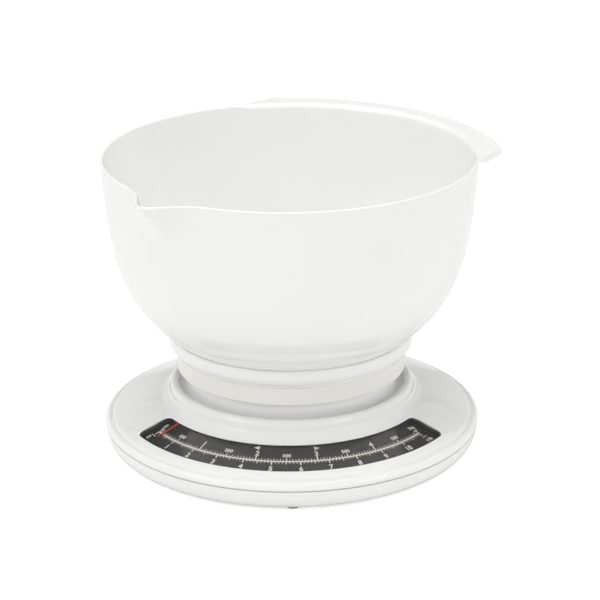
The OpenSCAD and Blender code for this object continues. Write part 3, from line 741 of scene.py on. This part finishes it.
@dataclass
class TopShell:
    """The upper casing: moulded rim, sloping face with window and finger rests, collar and upstand."""

    plan: Plan
    segments: int = 480
    wall: float = 2.5
    edge: float = 0.45
    lens_bed: float = 1.15
    row_step: float = 0.9

    def rim_run(self) -> Outline:
        """Outer edge from the parting line to the face: a raised bead with a groove inside it.

        Returns:
            The run's points.
        """
        b, p = self.plan.base_r, self.plan.parting_z
        bead = spline([(b - 0.5, p + 0.35), (b - 0.05, p + 1.1), (b - 0.1, p + 2.4), (b - 0.7, p + 3.8),
                       (b - 1.7, p + 4.8), (b - 2.9, p + 5.2), (b - 3.6, p + 5.0), (b - 4.2, p + 4.75),
                       (b - 4.75, p + 5.3), (b - 5.1, p + 6.2)], 3)
        return [(b - 1.0, p + 0.3), *bead]

    def collar_run(self) -> Outline:
        """From the foot of the collar over it, down the groove and over the upstand.

        Returns:
            The run's points.
        """
        p = self.plan
        foot = p.collar_out
        top, floor = p.collar_z, p.collar_z - 3.4
        collar = spline([(foot + 5.2, p.face_at(foot + 5.2)), (foot + 2.6, p.face_at(foot) - 0.1),
                         (foot + 1.1, p.face_at(foot) + 1.3), (foot + 0.45, p.face_at(foot) + 3.4),
                         (foot + 0.2, top - 5), (foot - 0.1, top - 3), (foot - 0.8, top - 1.4),
                         (foot - 2, top - 0.4), (foot - 3.2, top), (p.collar_in + 1.2, top - 0.1),
                         (p.collar_in + 0.4, top - 0.8), (p.collar_in, top - 2.4)], 4)
        out = p.skirt_r - 4.7
        stand = rounded([(p.collar_in, top - 2.6, 0), (p.collar_in, floor, 0.6), (out, floor, 0.6),
                         (out, p.upstand_z, 0.7), (out - 2.4, p.upstand_z, 0.5),
                         (out - 2.4, floor - 2.4, 0.4), (p.collar_in + 0.5, floor - 2.4, 0.4),
                         (foot - 2, top - 9.4, 0.4),
                         (foot + 2, p.face_at(foot + 2) - self.wall, 0)])
        return [*collar, *stand]

    def build(self) -> None:
        """Makes the shell as one closed turned shape with the window cut out of its face."""
        p = self.plan
        middle_r = (p.window_in + p.window_out) / 2
        dishes = [Dish(middle_r, 197.5), Dish(middle_r + 0.4, 338.0)]
        first = p.collar_out + 5.2
        steps = round((p.face_r - first) / self.row_step)
        rows = [p.face_r + (first - p.face_r) * k / steps for k in range(1, steps)]
        rim, collar = self.rim_run(), self.collar_run()
        under_rim = [(p.face_r - 0.4, p.face_at(p.face_r - 0.4) - self.wall),
                     (p.base_r - 3, p.parting_z + 2.4), (p.base_r - 2.4, p.parting_z + 0.3)]
        outline = [*rim, (p.face_r, p.face_z), *[(r, p.face_at(r)) for r in rows], *collar,
                   *[(r, p.face_at(r) - self.wall) for r in reversed(rows)], *under_rim]
        top_first = len(rim) + 1
        low_last = top_first + 2 * len(rows) + len(collar) - 1
        shape = Shape()
        columns = shape.lathe(outline, even_angles(self.segments), loop=True)
        shape.faces.clear()

        def gap(point: Sequence[float]) -> float:
            """Distance to the opening, which is wider than the window by the rounded edge."""
            return p.window_gap(point[0], point[1]) - self.edge

        cut: set[tuple[int, int]] = set()
        count, length = len(columns), len(outline)
        for j in range(count):
            n = (j + 1) % count
            for k in range(length):
                m = (k + 1) % length
                corners = [columns[j][k], columns[n][k], columns[n][m], columns[j][m]]
                middle = [sum(shape.points[v][c] for v in corners) / 4 for c in (0, 1)]
                if top_first <= k < top_first + len(rows) - 1 and gap(middle) < 0:
                    cut.add((j, k))
                else:
                    shape.faces.append(tuple(corners))
        self._drop_lower(shape, columns, cut, top_first, low_last)
        self._wall(shape, columns, cut, top_first, low_last)
        self._settle(shape, columns, top_first, low_last, len(rows), dishes)
        shape.build("top_casing", WHITE_ABS, Body.BASE, "top_shell")

    def _drop_lower(self, shape: Shape, columns: list[list[int]], cut: set[tuple[int, int]],
                    top_first: int, low_last: int) -> None:
        """Takes out the lower face's cells under the opening.

        Args:
            shape: The shell so far.
            columns: Its vertex numbers, a list for each direction.
            cut: Direction and row of each cell of the opening.
            top_first: First row of the upper face.
            low_last: The lower face's row under it.
        """
        count = len(columns)
        gone = set()
        for j, k in cut:
            n, low = (j + 1) % count, low_last - (k - top_first)
            gone.add(frozenset((columns[j][low], columns[n][low], columns[n][low - 1], columns[j][low - 1])))
        shape.faces = [f for f in shape.faces if frozenset(f) not in gone]

    def _wall(self, shape: Shape, columns: list[list[int]], cut: set[tuple[int, int]], top_first: int,
              low_last: int) -> None:
        """Moves the opening's border onto its outline and joins its two sides by an eased edge.

        Args:
            shape: The shell so far.
            columns: Its vertex numbers, a list for each direction.
            cut: Direction and row of each cell of the opening.
            top_first: First row of the upper face.
            low_last: The lower face's row under it.
        """
        p, count = self.plan, len(columns)
        edges: list[tuple[tuple[int, int], tuple[int, int]]] = []
        for j, k in cut:
            n = (j + 1) % count
            if ((j - 1) % count, k) not in cut:
                edges.append(((j, k), (j, k + 1)))
            if (n, k) not in cut:
                edges.append(((n, k), (n, k + 1)))
            if (j, k - 1) not in cut:
                edges.append(((j, k), (n, k)))
            if (j, k + 1) not in cut:
                edges.append(((j, k + 1), (n, k + 1)))
        stacks: dict[tuple[int, int], list[int]] = {}
        steps = 4
        for j, k in {c for edge in edges for c in edge}:
            top, low = columns[j][k], columns[j][low_last - (k - top_first)]
            x, y, z = shape.points[top]
            h = 0.01
            slope = Vector((p.window_gap(x + h, y) - p.window_gap(x - h, y),
                            p.window_gap(x, y + h) - p.window_gap(x, y - h))).normalized()
            shift = self.edge - p.window_gap(x, y)
            x, y = x + slope.x * shift, y + slope.y * shift
            for v in (top, low):
                shape.points[v] = (x, y, shape.points[v][2])
            stack = [top]
            for i in range(1, steps + 1):
                t = math.radians(90 * i / steps)
                inward = self.edge * math.sin(t)
                a, b = x - slope.x * inward, y - slope.y * inward
                stack.append(shape.add(a, b, p.face_at(math.hypot(a, b)) - self.edge * (1 - math.cos(t))))
            stacks[(j, k)] = [*stack, low]
        for a, b in edges:
            for i in range(steps + 1):
                shape.faces.append((stacks[a][i], stacks[b][i], stacks[b][i + 1], stacks[a][i + 1]))

    def _settle(self, shape: Shape, columns: list[list[int]], top_first: int, low_last: int, rows: int,
                dishes: Sequence[Dish]) -> None:
        """Gives the face its height, with the finger rests above and the bed of the lens below.

        Args:
            shape: The shell so far.
            columns: Its vertex numbers, a list for each direction.
            top_first: First row of the upper face.
            low_last: The lower face's row under it.
            rows: Number of rows.
            dishes: The finger rests.
        """
        p = self.plan
        for column in columns:
            for k in range(rows):
                for v, low in ((column[top_first + k], False), (column[low_last - k], True)):
                    x, y, _ = shape.points[v]
                    r = math.hypot(x, y)
                    depth = (self.lens_bed if p.window_gap(x, y) < 3 else self.wall) if low else 0.0
                    shape.points[v] = (x, y, p.face_at(r) - sum(d.sink(x, y) for d in dishes) - depth)


# ---------------------------------------------------------------- window set
@dataclass
class DialSet:
    """Lens, dial plate and its printing."""

    plan: Plan
    ink: float = 0.03

    def sector(self, r0: float, r1: float, start: float, end: float, top: float, low: float) -> Shape:
        """A slab that follows the slope of the face, between two directions.

        Args:
            r0: Inner radius.
            r1: Outer radius.
            start: First direction.
            end: Last direction.
            top: Depth of its upper side below the face.
            low: Depth of its lower side below the face.

        Returns:
            The closed slab.
        """
        shape = Shape()
        soft = 0.25
        corners = [(r0, top, soft), (r1, top, soft), (r1, low, soft), (r0, low, soft)]
        section = rounded(corners, closed=True, steps=3)
        count = 160
        columns = []
        for j in range(count + 1):
            angle = start + (end - start) * j / count
            columns.append([shape.add_polar(r, angle, self.plan.face_at(r) - d) for r, d in section])
        for left, right in zip(columns, columns[1:]):
            for k in range(len(section)):
                n = (k + 1) % len(section)
                shape.faces.append((left[k], right[k], right[n], left[n]))
        shape.faces += [tuple(columns[0]), tuple(reversed(columns[-1]))]
        return shape

    def build(self) -> None:
        """Makes the lens, the plate and everything printed on it."""
        p = self.plan
        lens = self.sector(p.window_in - 1.5, p.window_out + 1.5, p.window_from - 1.0, p.window_to + 1.0,
                           1.2, 2.5)
        lens.build("window_lens_clear", CLEAR_STYRENE, Body.BASE, "window_lens")
        plate = self.sector(p.window_in - 6, p.window_out + 1.4, p.window_from - 4, p.window_to + 4,
                            p.dial_drop, p.dial_drop + 0.8)
        plate.build("dial_plate_black", BLACK_INK, Body.BASE, "dial_plate")
        self.build_marks()
        self.build_numerals()

    def height(self, r: float) -> float:
        """Height of the printed surface at a radius."""
        return self.plan.face_at(r) - self.plan.dial_drop

    def build_marks(self) -> None:
        """Makes all scale marks with one tree of geometry nodes."""
        p = self.plan
        tree = mark_tree()
        pound, kilo = p.sweep / SCALE_POUNDS, p.sweep / SCALE_KILOS
        sets = [
            ("kilo_marks_fine", 101, kilo / 20, 90.3, 91.8, 0.42),
            ("kilo_marks_tenth", 51, kilo / 10, 89.8, 91.8, 0.46),
            ("kilo_marks_half", 11, kilo / 2, 89.3, 91.8, 0.7),
            ("kilo_marks_whole", 6, kilo, 88.4, 91.8, 0.8),
            ("pound_marks_fine", 89, pound / 8, 92.2, 93.5, 0.42),
            ("pound_marks_half", 23, pound / 2, 92.2, 94.1, 0.55),
            ("pound_marks_whole", 12, pound, 92.2, 94.6, 0.8),
        ]
        for name, count, step, start, end, width in sets:
            repeat_marks(tree, name, count, p.zero_at, step, start, end - start, width, self.ink,
                         self.height(start), p.face_rise)
        arcs = Shape()
        self.add_band(arcs, 91.5, 92.4, p.zero_at, p.zero_at + p.sweep)
        for end in (p.zero_at, p.zero_at + p.sweep):
            for r0, r1 in ((95.6, 96.0), (89.2, 89.6)):
                self.add_band(arcs, r0, r1, end - 1.3, end + 1.3)
        for angle, way in ((256.6, -1), (279.0, 1)):
            self.add_arrow(arcs, 82.0, angle, way)
        arcs.build("dial_lines", WHITE_INK, Body.BASE, level=False)

    def add_band(self, shape: Shape, r0: float, r1: float, start: float, end: float) -> None:
        """Adds a thin raised band of ink.

        Args:
            shape: What to add to.
            r0: Inner radius.
            r1: Outer radius.
            start: First direction in degrees.
            end: Last direction.
        """
        count = max(2, round(abs(end - start)))
        rows = []
        for j in range(count + 1):
            angle = start + (end - start) * j / count
            rows.append([shape.add_polar(r, angle, self.height(r) + up) for r, up in
                         ((r0, -0.01), (r1, -0.01), (r1, self.ink), (r0, self.ink))])
        for left, right in zip(rows, rows[1:]):
            for k in range(4):
                shape.faces.append((left[k], right[k], right[(k + 1) % 4], left[(k + 1) % 4]))
        shape.faces += [tuple(rows[0]), tuple(rows[-1])]

    def add_arrow(self, shape: Shape, r: float, angle: float, way: int) -> None:
        """Adds a small triangle of ink that points along the scale.

        Args:
            shape: What to add to.
            r: Radius of its middle.
            angle: Direction of its base in degrees.
            way: 1 to point the way the scale counts, -1 to point back.
        """
        half, long = 1.7, 3.4
        plan = [(r - half, 0.0), (r + half, 0.0), (r, way * long)]
        layers = [[shape.add_polar(q, angle + math.degrees(t / r), self.height(q) + up) for q, t in plan]
                  for up in (-0.01, self.ink)]
        shape.faces += [tuple(layers[0]), tuple(layers[1])]
        for k in range(3):
            n = (k + 1) % 3
            shape.faces.append((layers[0][k], layers[0][n], layers[1][n], layers[1][k]))

    def build_numerals(self) -> None:
        """Sets every numeral on the slope of the dial, its top towards the centre."""
        p = self.plan
        pound, kilo = p.sweep / SCALE_POUNDS, p.sweep / SCALE_KILOS
        words = [(str(n), p.zero_at + n * pound, 97.7, 4.8) for n in range(1, 11)]
        words += [(str(n), p.zero_at + n * kilo, 86.3, 5.0) for n in range(1, 5)]
        words += [("500", p.zero_at + (n + 0.5) * kilo, 87.2, 3.4) for n in range(5)]
        words += [("0", p.zero_at - 0.9, 98.4, 4.4), ("0", p.zero_at - 0.9, 86.6, 4.4),
                  ("11lb", p.zero_at + p.sweep + 0.2, 98.9, 3.4), ("5kg", p.zero_at + p.sweep, 86.6, 3.4)]
        shape = Shape()
        for text, angle, r, size in words:
            faces, points = letter_mesh(text, size, self.ink)
            first = len(shape.points)
            for x, y, z in points:
                q = r - y
                shape.add_polar(q, angle + math.degrees(x / r), self.height(q) + z)
            shape.faces += [tuple(first + v for v in f) for f in faces]
        shape.build("dial_numerals", WHITE_INK, Body.BASE, level=False)


def letter_mesh(text: str, size: float,
                ink: float) -> tuple[list[tuple[int, ...]], list[tuple[float, float, float]]]:
    """Turns a short text into faces and points in millimetres, centred on its middle.

    Args:
        text: The characters.
        size: Their size.
        ink: Thickness of the ink.

    Returns:
        Faces and points.
    """
    curve = bpy.data.curves.new("letters", "FONT")
    curve.body, curve.size, curve.extrude, curve.offset = text, size, ink / 2, size * 0.03
    curve.align_x, curve.resolution_u = "CENTER", 3
    holder = bpy.data.objects.new("letters", curve)
    bpy.context.scene.collection.objects.link(holder)
    mesh = bpy.data.meshes.new_from_object(holder.evaluated_get(bpy.context.evaluated_depsgraph_get()))
    points = [tuple(v.co) for v in mesh.vertices]
    faces = [tuple(f.vertices) for f in mesh.polygons]
    bpy.data.objects.remove(holder)
    bpy.data.curves.remove(curve)
    bpy.data.meshes.remove(mesh)
    middle = (max(q[1] for q in points) + min(q[1] for q in points)) / 2
    return faces, [(x, y - middle, z + ink / 2) for x, y, z in points]


# ------------------------------------------------------------ geometry nodes
def new_tree(name: str, sockets: Sequence[tuple[str, str]]) -> bpy.types.NodeTree:
    """Starts a tree of geometry nodes with named inputs.

    Args:
        name: The tree's name.
        sockets: Name and type of each input.

    Returns:
        The tree, with a Geometry input and output besides those inputs.
    """
    tree = bpy.data.node_groups.new(name, "GeometryNodeTree")
    tree.interface.new_socket("Geometry", in_out="INPUT", socket_type="NodeSocketGeometry")
    tree.interface.new_socket("Geometry", in_out="OUTPUT", socket_type="NodeSocketGeometry")
    for label, kind in sockets:
        tree.interface.new_socket(label, in_out="INPUT", socket_type=kind)
    return tree


def run_tree(tree: bpy.types.NodeTree, mesh: bpy.types.Mesh, values: dict[str, object]) -> bpy.types.Mesh:
    """Runs a tree once on a mesh and returns the plain result.

    Args:
        tree: The tree.
        mesh: The mesh on which it starts.
        values: The inputs by name.

    Returns:
        A mesh with no modifier behind it.
    """
    holder = bpy.data.objects.new("holder", mesh)
    bpy.context.scene.collection.objects.link(holder)
    modifier = holder.modifiers.new("nodes", "NODES")
    modifier.node_group = tree
    named = {s.name: s.identifier for s in tree.interface.items_tree if s.in_out == "INPUT"}
    for label, value in values.items():
        modifier[named[label]] = value
    bpy.context.view_layer.update()
    result = bpy.data.meshes.new_from_object(holder.evaluated_get(bpy.context.evaluated_depsgraph_get()))
    bpy.data.objects.remove(holder)
    return result


def set_round(tree: bpy.types.NodeTree, given: bpy.types.bpy_prop_collection, part: bpy.types.Node) -> None:
    """Ends a tree: sets copies of a part round the Z axis and gives them their finish.

    Args:
        tree: The tree, with inputs Count, First, Step and Finish.
        given: The sockets of its inputs.
        part: The node that makes the part.
    """
    points = add_node(tree, "GeometryNodePoints", links={"Count": given["Count"]})
    index = add_node(tree, "GeometryNodeInputIndex")
    turn = add_node(tree, "ShaderNodeMath", {"operation": "MULTIPLY_ADD"},
                    {0: index.outputs[0], 1: given["Step"], 2: given["First"]})
    spin = add_node(tree, "ShaderNodeCombineXYZ", links={2: turn.outputs[0]})
    copies = add_node(tree, "GeometryNodeInstanceOnPoints", links={
        "Points": points.outputs[0], "Instance": part.outputs[0], "Rotation": spin.outputs[0]})
    real = add_node(tree, "GeometryNodeRealizeInstances", links={0: copies.outputs[0]})
    done = add_node(tree, "GeometryNodeSetMaterial", links={
        "Geometry": real.outputs[0], "Material": given["Finish"]})
    add_node(tree, "NodeGroupOutput", links={0: done.outputs[0]})


def mark_tree() -> bpy.types.NodeTree:
    """Builds the tree that lays scale marks round the dial.

    Returns:
        A tree whose inputs are the marks' number, places and sizes.
    """
    labels = ("First", "Step", "Radius", "Length", "Width", "Thickness", "Height", "Slope")
    floats = [(label, "NodeSocketFloat") for label in labels]
    tree = new_tree("scale_marks", [("Count", "NodeSocketInt"), *floats, ("Finish", "NodeSocketMaterial")])
    given = add_node(tree, "NodeGroupInput").outputs
    half = add_node(tree, "ShaderNodeMath", {"operation": "MULTIPLY", 1: 0.5}, {0: given["Length"]})
    cosine = add_node(tree, "ShaderNodeMath", {"operation": "COSINE"}, {0: given["Slope"]})
    sine = add_node(tree, "ShaderNodeMath", {"operation": "SINE"}, {0: given["Slope"]})
    out = add_node(tree, "ShaderNodeMath", {"operation": "MULTIPLY_ADD"},
                   {0: half.outputs[0], 1: cosine.outputs[0], 2: given["Radius"]})
    fall = add_node(tree, "ShaderNodeMath", {"operation": "MULTIPLY"},
                    {0: half.outputs[0], 1: sine.outputs[0]})
    level = add_node(tree, "ShaderNodeMath", {"operation": "SUBTRACT"},
                     {0: given["Height"], 1: fall.outputs[0]})
    size = add_node(tree, "ShaderNodeCombineXYZ", links={
        0: given["Length"], 1: given["Width"], 2: given["Thickness"]})
    bar = add_node(tree, "GeometryNodeMeshCube", links={"Size": size.outputs[0]})
    place = add_node(tree, "ShaderNodeCombineXYZ", links={0: out.outputs[0], 2: level.outputs[0]})
    tilt = add_node(tree, "ShaderNodeCombineXYZ", links={1: given["Slope"]})
    laid = add_node(tree, "GeometryNodeTransform", links={
        "Geometry": bar.outputs["Mesh"], "Translation": place.outputs[0], "Rotation": tilt.outputs[0]})
    set_round(tree, given, laid)
    return tree


def repeat_marks(tree: bpy.types.NodeTree, name: str, count: int, first: float, step: float, radius: float,
                 length: float, width: float, ink: float, height: float, rise: float) -> None:
    """Makes one set of scale marks.

    Args:
        tree: The tree of mark_tree.
        name: Name of the piece.
        count: Number of marks.
        first: Direction of the first mark in degrees.
        step: Degrees between two marks.
        radius: Radius at which each starts.
        length: Length of a mark.
        width: Width of a mark.
        ink: Thickness of the ink.
        height: Height of the dial where the marks start.
        rise: Rise of the dial for each millimetre towards the centre.
    """
    slope = math.atan(rise)
    mesh = run_tree(tree, bpy.data.meshes.new(name), {
        "Count": count, "First": math.radians(first), "Step": math.radians(step), "Radius": radius * MM,
        "Length": length / math.cos(slope) * MM, "Width": width * MM, "Thickness": ink * MM,
        "Height": (height + ink / 2) * MM, "Slope": slope, "Finish": WHITE_INK.material()})
    dress(mesh, name, WHITE_INK, Body.BASE, level=False)


def ring_tree() -> bpy.types.NodeTree:
    """Builds the tree that sets copies of a small part round the base.

    Returns:
        A tree whose inputs are the copies' number, radius and directions.
    """
    tree = new_tree("ring_of_parts", [("Count", "NodeSocketInt"), ("Radius", "NodeSocketFloat"),
                                      ("First", "NodeSocketFloat"), ("Step", "NodeSocketFloat"),
                                      ("Finish", "NodeSocketMaterial")])
    given = add_node(tree, "NodeGroupInput").outputs
    place = add_node(tree, "ShaderNodeCombineXYZ", links={0: given["Radius"]})
    moved = add_node(tree, "GeometryNodeTransform",
                     links={"Geometry": given["Geometry"], "Translation": place.outputs[0]})
    set_round(tree, given, moved)
    return tree


# ---------------------------------------------------------------------- base
@dataclass
class Tray:
    """The lower casing with its screw pockets, and the feet."""

    plan: Plan
    segments: int = 240
    wall: float = 2.0
    flat_r: float = 106.5
    feet: int = 4
    foot_r: float = 4.2
    foot_ring: float = 102.4
    shell_screw_r: float = 98.0
    shell_screws: tuple[float, ...] = (45.0, 135.0, 192.0, 346.0)
    frame_x: float = 30.0
    frame_rows: tuple[float, float] = (-9.0, 56.0)

    def curve(self, inset: float) -> Outline:
        """The turned-in side of the tray, from the table upwards.

        Args:
            inset: How far it is moved inwards.

        Returns:
            The side's points.
        """
        p = self.plan
        top = p.parting_z - 0.3
        side = p.base_r - 0.4 - self.flat_r - inset
        low = p.tray_z + inset
        turns = [math.radians(5 * k) for k in range(19)]
        return [(self.flat_r + side * math.sin(t), low + (top - low) * (1 - math.cos(t))) for t in turns]

    def build(self) -> None:
        """Makes the tray and its feet."""
        p = self.plan
        top = p.parting_z - 0.3
        floor = p.tray_z + self.wall
        inner = self.curve(self.wall)
        shape = Shape()
        edge = [(p.base_r - 0.45, top - 0.15), (p.base_r - 0.8, top), (p.base_r - self.wall - 0.6, top)]
        shape.lathe([*self.curve(0)[:-1], *edge, *reversed(inner[:-1])], even_angles(self.segments))
        bores = []
        well = [(3.3, p.tray_z), (3.0, p.tray_z + 0.3), (3.0, p.tray_z + 2.4), (1.6, p.tray_z + 2.4),
                (1.6, floor + 4.8), (5.0, floor + 4.8), (5.0, floor)]
        for angle in self.shell_screws:
            t = math.radians(angle)
            bores.append(Bore(self.shell_screw_r * math.cos(t), self.shell_screw_r * math.sin(t), well))
        pocket = [(3.3, p.tray_z), (3.0, p.tray_z + 0.3), (3.0, p.tray_z + 1.6), (1.8, p.tray_z + 1.6),
                  (1.8, floor + 1.15), (5.0, floor + 1.15), (5.0, floor)]
        bores += [Bore(x, y, pocket) for x in (-self.frame_x, self.frame_x) for y in self.frame_rows]
        bored_plate(shape, self.flat_r, p.tray_z, floor, bores, self.segments)
        shape.build("base_tray_moulding", WHITE_ABS, Body.BASE, "base_tray")
        self.build_feet()

    def build_feet(self) -> None:
        """Makes the feet, dished underneath, with one tree of geometry nodes."""
        foot = Shape()
        r, top = self.foot_r, self.plan.tray_z + 0.02
        side = rounded([(0, 0.5, 0), (r - 2.0, 0.5, 0.3), (r - 1.6, 0, 0.3), (r - 0.5, 0, 0.5),
                        (r, 1.0, 0.4), (r, top, 0)], steps=4)
        foot.lathe([*side, (0, top)], even_angles(48))
        ring = run_tree(ring_tree(), foot.to_mesh("foot", weld=False), {
            "Count": self.feet, "Radius": self.foot_ring * MM, "First": 0.0, "Step": math.tau / self.feet,
            "Finish": GREY_RUBBER.material()})
        dress(ring, "rubber_feet", GREY_RUBBER, Body.BASE, "feet")


@dataclass
class Pointer:
    """The red pointer: a hub on the spindle, an arm under the collar and a blade over the dial."""

    plan: Plan
    angle: float = 213.4
    thick: float = 0.35
    tip_r: float = 95.9

    def build(self) -> None:
        """Makes the pointer as one closed shape."""
        p = self.plan
        bend = p.window_in - 6
        level = p.face_at(bend) - 2.95 - self.thick
        shape = Shape()
        stations = [(2.0, 1.8), (bend * 0.5, 1.3), (bend - 1.5, 1.1), (bend, 1.05), (bend + 6, 1.0),
                    (self.tip_r - 3, 0.8), (self.tip_r, 0.4)]
        rings = []
        for r, half in stations:
            z = level - max(0.0, r - bend) * p.face_rise
            section = ((-half, 0.08), (-half + 0.1, 0), (half - 0.1, 0), (half, 0.08),
                       (half, self.thick - 0.08), (half * 0.6, self.thick), (-half * 0.6, self.thick),
                       (-half, self.thick - 0.08))
            rings.append([shape.add(r, y, z + up) for y, up in section])
        for a, b in zip(rings, rings[1:]):
            for k in range(8):
                shape.faces.append((a[k], a[(k + 1) % 8], b[(k + 1) % 8], b[k]))
        shape.faces += [tuple(rings[0]), tuple(reversed(rings[-1]))]
        shape.lathe(rounded([(1.6, level - 2, 0.1), (2.7, level - 2, 0.3), (2.7, level + 1.6, 0.4),
                             (1.6, level + 1.6, 0.1)], closed=True), even_angles(48), loop=True)
        t = math.radians(self.angle)
        shape.points = [(x * math.cos(t) - y * math.sin(t), x * math.sin(t) + y * math.cos(t), z)
                        for x, y, z in shape.points]
        shape.build("pointer_red", RED_LACQUER, Body.SPINDLE, "pointer")


# ----------------------------------------------------------------- mechanism
class MechanismFinish(Enum):
    """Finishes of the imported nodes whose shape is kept."""

    SHEET = SHEET_STEEL
    BRIGHT = BRIGHT_STEEL
    SPRING = SPRING_STEEL
    GEAR = BRASS
    KNOB = GREY_ABS


def dress_mechanism() -> None:
    """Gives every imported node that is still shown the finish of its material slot."""
    finishes = {member.value.slot: member.value for member in MechanismFinish}
    for row in frame["record"]["subparts"]:
        piece = frame["nodes"][row["node"]]
        if piece.hide_render:
            continue
        finish = finishes[row["material_slot"]]
        piece.data.materials.clear()
        piece.data.materials.append(finish.material())
        log.info("%s keeps its shape, in %s", row["node"], finish.name)


# -------------------------------------------------------------------- studio
@dataclass
class Studio:
    """A white table, soft light from all round and the camera."""

    camera_y: float = -1.3711
    camera_z: float = 0.5950
    lens_mm: float = 144.0
    yaw: float = 0.00406
    pitch: float = 0.352821
    roll: float = -0.007891
    backdrop: float = 1.0
    front_glow: float = 0.62
    back_glow: float = 0.62
    side_glow: float = 0.22
    dark_band: float = 0.8
    table_glow: float = 0.6

    def build(self) -> None:
        """Makes table, world, lamps and camera."""
        self.build_table()
        self.build_world()
        self.add_softbox("softbox_left", (-1.6, -1.0, 1.5), 1.0, 9)
        self.add_softbox("softbox_right", (1.5, -1.3, 1.0), 0.6, 5)
        self.add_softbox("softbox_top", (0.0, 0.0, 2.0), 1.2, 16)
        self.build_camera()

    def build_table(self) -> None:
        """Makes the table, a plain pale surface."""
        mesh = bpy.data.meshes.new("table")
        half = 6.0
        corners = [(-half, -half, 0), (half, -half, 0), (half, half, 0), (-half, half, 0)]
        mesh.from_pydata(corners, [], [(0, 1, 2, 3)])
        made = bpy.data.materials.new("table_white_paper")
        made.use_nodes = True
        tree = made.node_tree
        tree.nodes.clear()
        ray = add_node(tree, "ShaderNodeLightPath")
        glow = add_node(tree, "ShaderNodeMath", {"operation": "MULTIPLY", 1: self.table_glow},
                        {0: ray.outputs["Is Camera Ray"]})
        paper = {"Base Color": linear("F7F7F7"), "Roughness": 0.85, "Emission Color": (1, 1, 1, 1)}
        shader = add_node(tree, "ShaderNodeBsdfPrincipled", paper, {"Emission Strength": glow.outputs[0]})
        add_node(tree, "ShaderNodeOutputMaterial", links={"Surface": shader.outputs["BSDF"]})
        mesh.materials.append(made)
        table = bpy.data.objects.new("table", mesh)
        bpy.context.scene.collection.objects.link(table)

    def build_world(self) -> None:
        """Makes a white backdrop whose glow falls off from the front to the dark room behind."""
        world = bpy.data.worlds.new("white_tent")
        world.use_nodes = True
        tree = world.node_tree
        tree.nodes.clear()
        ray = add_node(tree, "ShaderNodeLightPath")
        place = add_node(tree, "ShaderNodeTexCoord")
        split = add_node(tree, "ShaderNodeSeparateXYZ", links={0: place.outputs["Generated"]})
        fade = {"From Min": -0.6, "From Max": 0.7, "To Min": self.front_glow, "To Max": self.back_glow}
        glow = add_node(tree, "ShaderNodeMapRange", fade, {"Value": split.outputs["Y"]})
        side = add_node(tree, "ShaderNodeMath", {"operation": "POWER", 1: 2.0}, {0: split.outputs["X"]})
        lit = add_node(tree, "ShaderNodeMath", {"operation": "MULTIPLY_ADD", 1: self.side_glow},
                       {0: side.outputs[0], 2: glow.outputs["Result"]})
        behind = add_node(tree, "ShaderNodeMapRange", {"From Min": 0.55, "From Max": 0.75},
                          {"Value": split.outputs["Y"]})
        low = add_node(tree, "ShaderNodeMapRange", {"From Min": 0.25, "From Max": 0.4},
                       {"Value": split.outputs["Z"]})
        shade = add_node(tree, "ShaderNodeMath", {"operation": "MULTIPLY"},
                         {0: behind.outputs["Result"], 1: low.outputs["Result"]})
        keep = add_node(tree, "ShaderNodeMath", {"operation": "MULTIPLY_ADD", 1: -self.dark_band, 2: 1.0},
                        {0: shade.outputs[0]})
        dim = add_node(tree, "ShaderNodeMath", {"operation": "MULTIPLY"},
                       {0: lit.outputs[0], 1: keep.outputs[0]})
        level = add_node(tree, "ShaderNodeMix", {3: self.backdrop},
                         {0: ray.outputs["Is Camera Ray"], 2: dim.outputs[0]})
        back = add_node(tree, "ShaderNodeBackground", {"Color": (1, 1, 1, 1)}, {"Strength": level.outputs[0]})
        add_node(tree, "ShaderNodeOutputWorld", links={"Surface": back.outputs[0]})
        bpy.context.scene.world = world
        bpy.context.scene.view_settings.view_transform = "Standard"

    def add_softbox(self, name: str, place: tuple[float, float, float], size: float, watts: float) -> None:
        """Hangs a square lamp that looks at the middle of the scale.

        Args:
            name: The lamp's name.
            place: Where it hangs, in metres.
            size: Side of the square, in metres.
            watts: Its power.
        """
        light = bpy.data.lights.new(name, "AREA")
        light.size, light.energy = size, watts
        lamp = bpy.data.objects.new(name, light)
        lamp.location = place
        lamp.rotation_euler = (Vector((0, 0, 0.09)) - Vector(place)).to_track_quat("-Z", "Y").to_euler()
        bpy.context.scene.collection.objects.link(lamp)

    def build_camera(self) -> None:
        """Sets the camera at the standing viewer's height."""
        ahead = Vector((math.sin(self.yaw) * math.cos(self.pitch), math.cos(self.yaw) * math.cos(self.pitch),
                        -math.sin(self.pitch)))
        right = Vector((math.cos(self.yaw), -math.sin(self.yaw), 0))
        up = right.cross(ahead)
        cos, sin = math.cos(self.roll), math.sin(self.roll)
        side, over = right * cos + up * sin, up * cos - right * sin
        data = bpy.data.cameras.new("camera")
        data.lens, data.sensor_width = self.lens_mm, 36.0
        data.clip_end = 50
        camera = bpy.data.objects.new("camera", data)
        turned = Matrix((side, over, -ahead)).transposed().to_4x4()
        turned.translation = (0, self.camera_y, self.camera_z)
        camera.matrix_world = turned
        bpy.context.scene.collection.objects.link(camera)
        bpy.context.scene.camera = camera


def main() -> None:
    """Builds the scale piece by piece, then the studio."""
    logging.basicConfig(level=logging.INFO, format="%(message)s")
    plan = Plan()
    Tray(plan).build()
    TopShell(plan).build()
    DialSet(plan).build()
    Pointer(plan).build()
    Platform(plan).build()
    MixingBowl(plan).build()
    dress_mechanism()
    Studio().build()


if __name__ == "__main__":
    main()
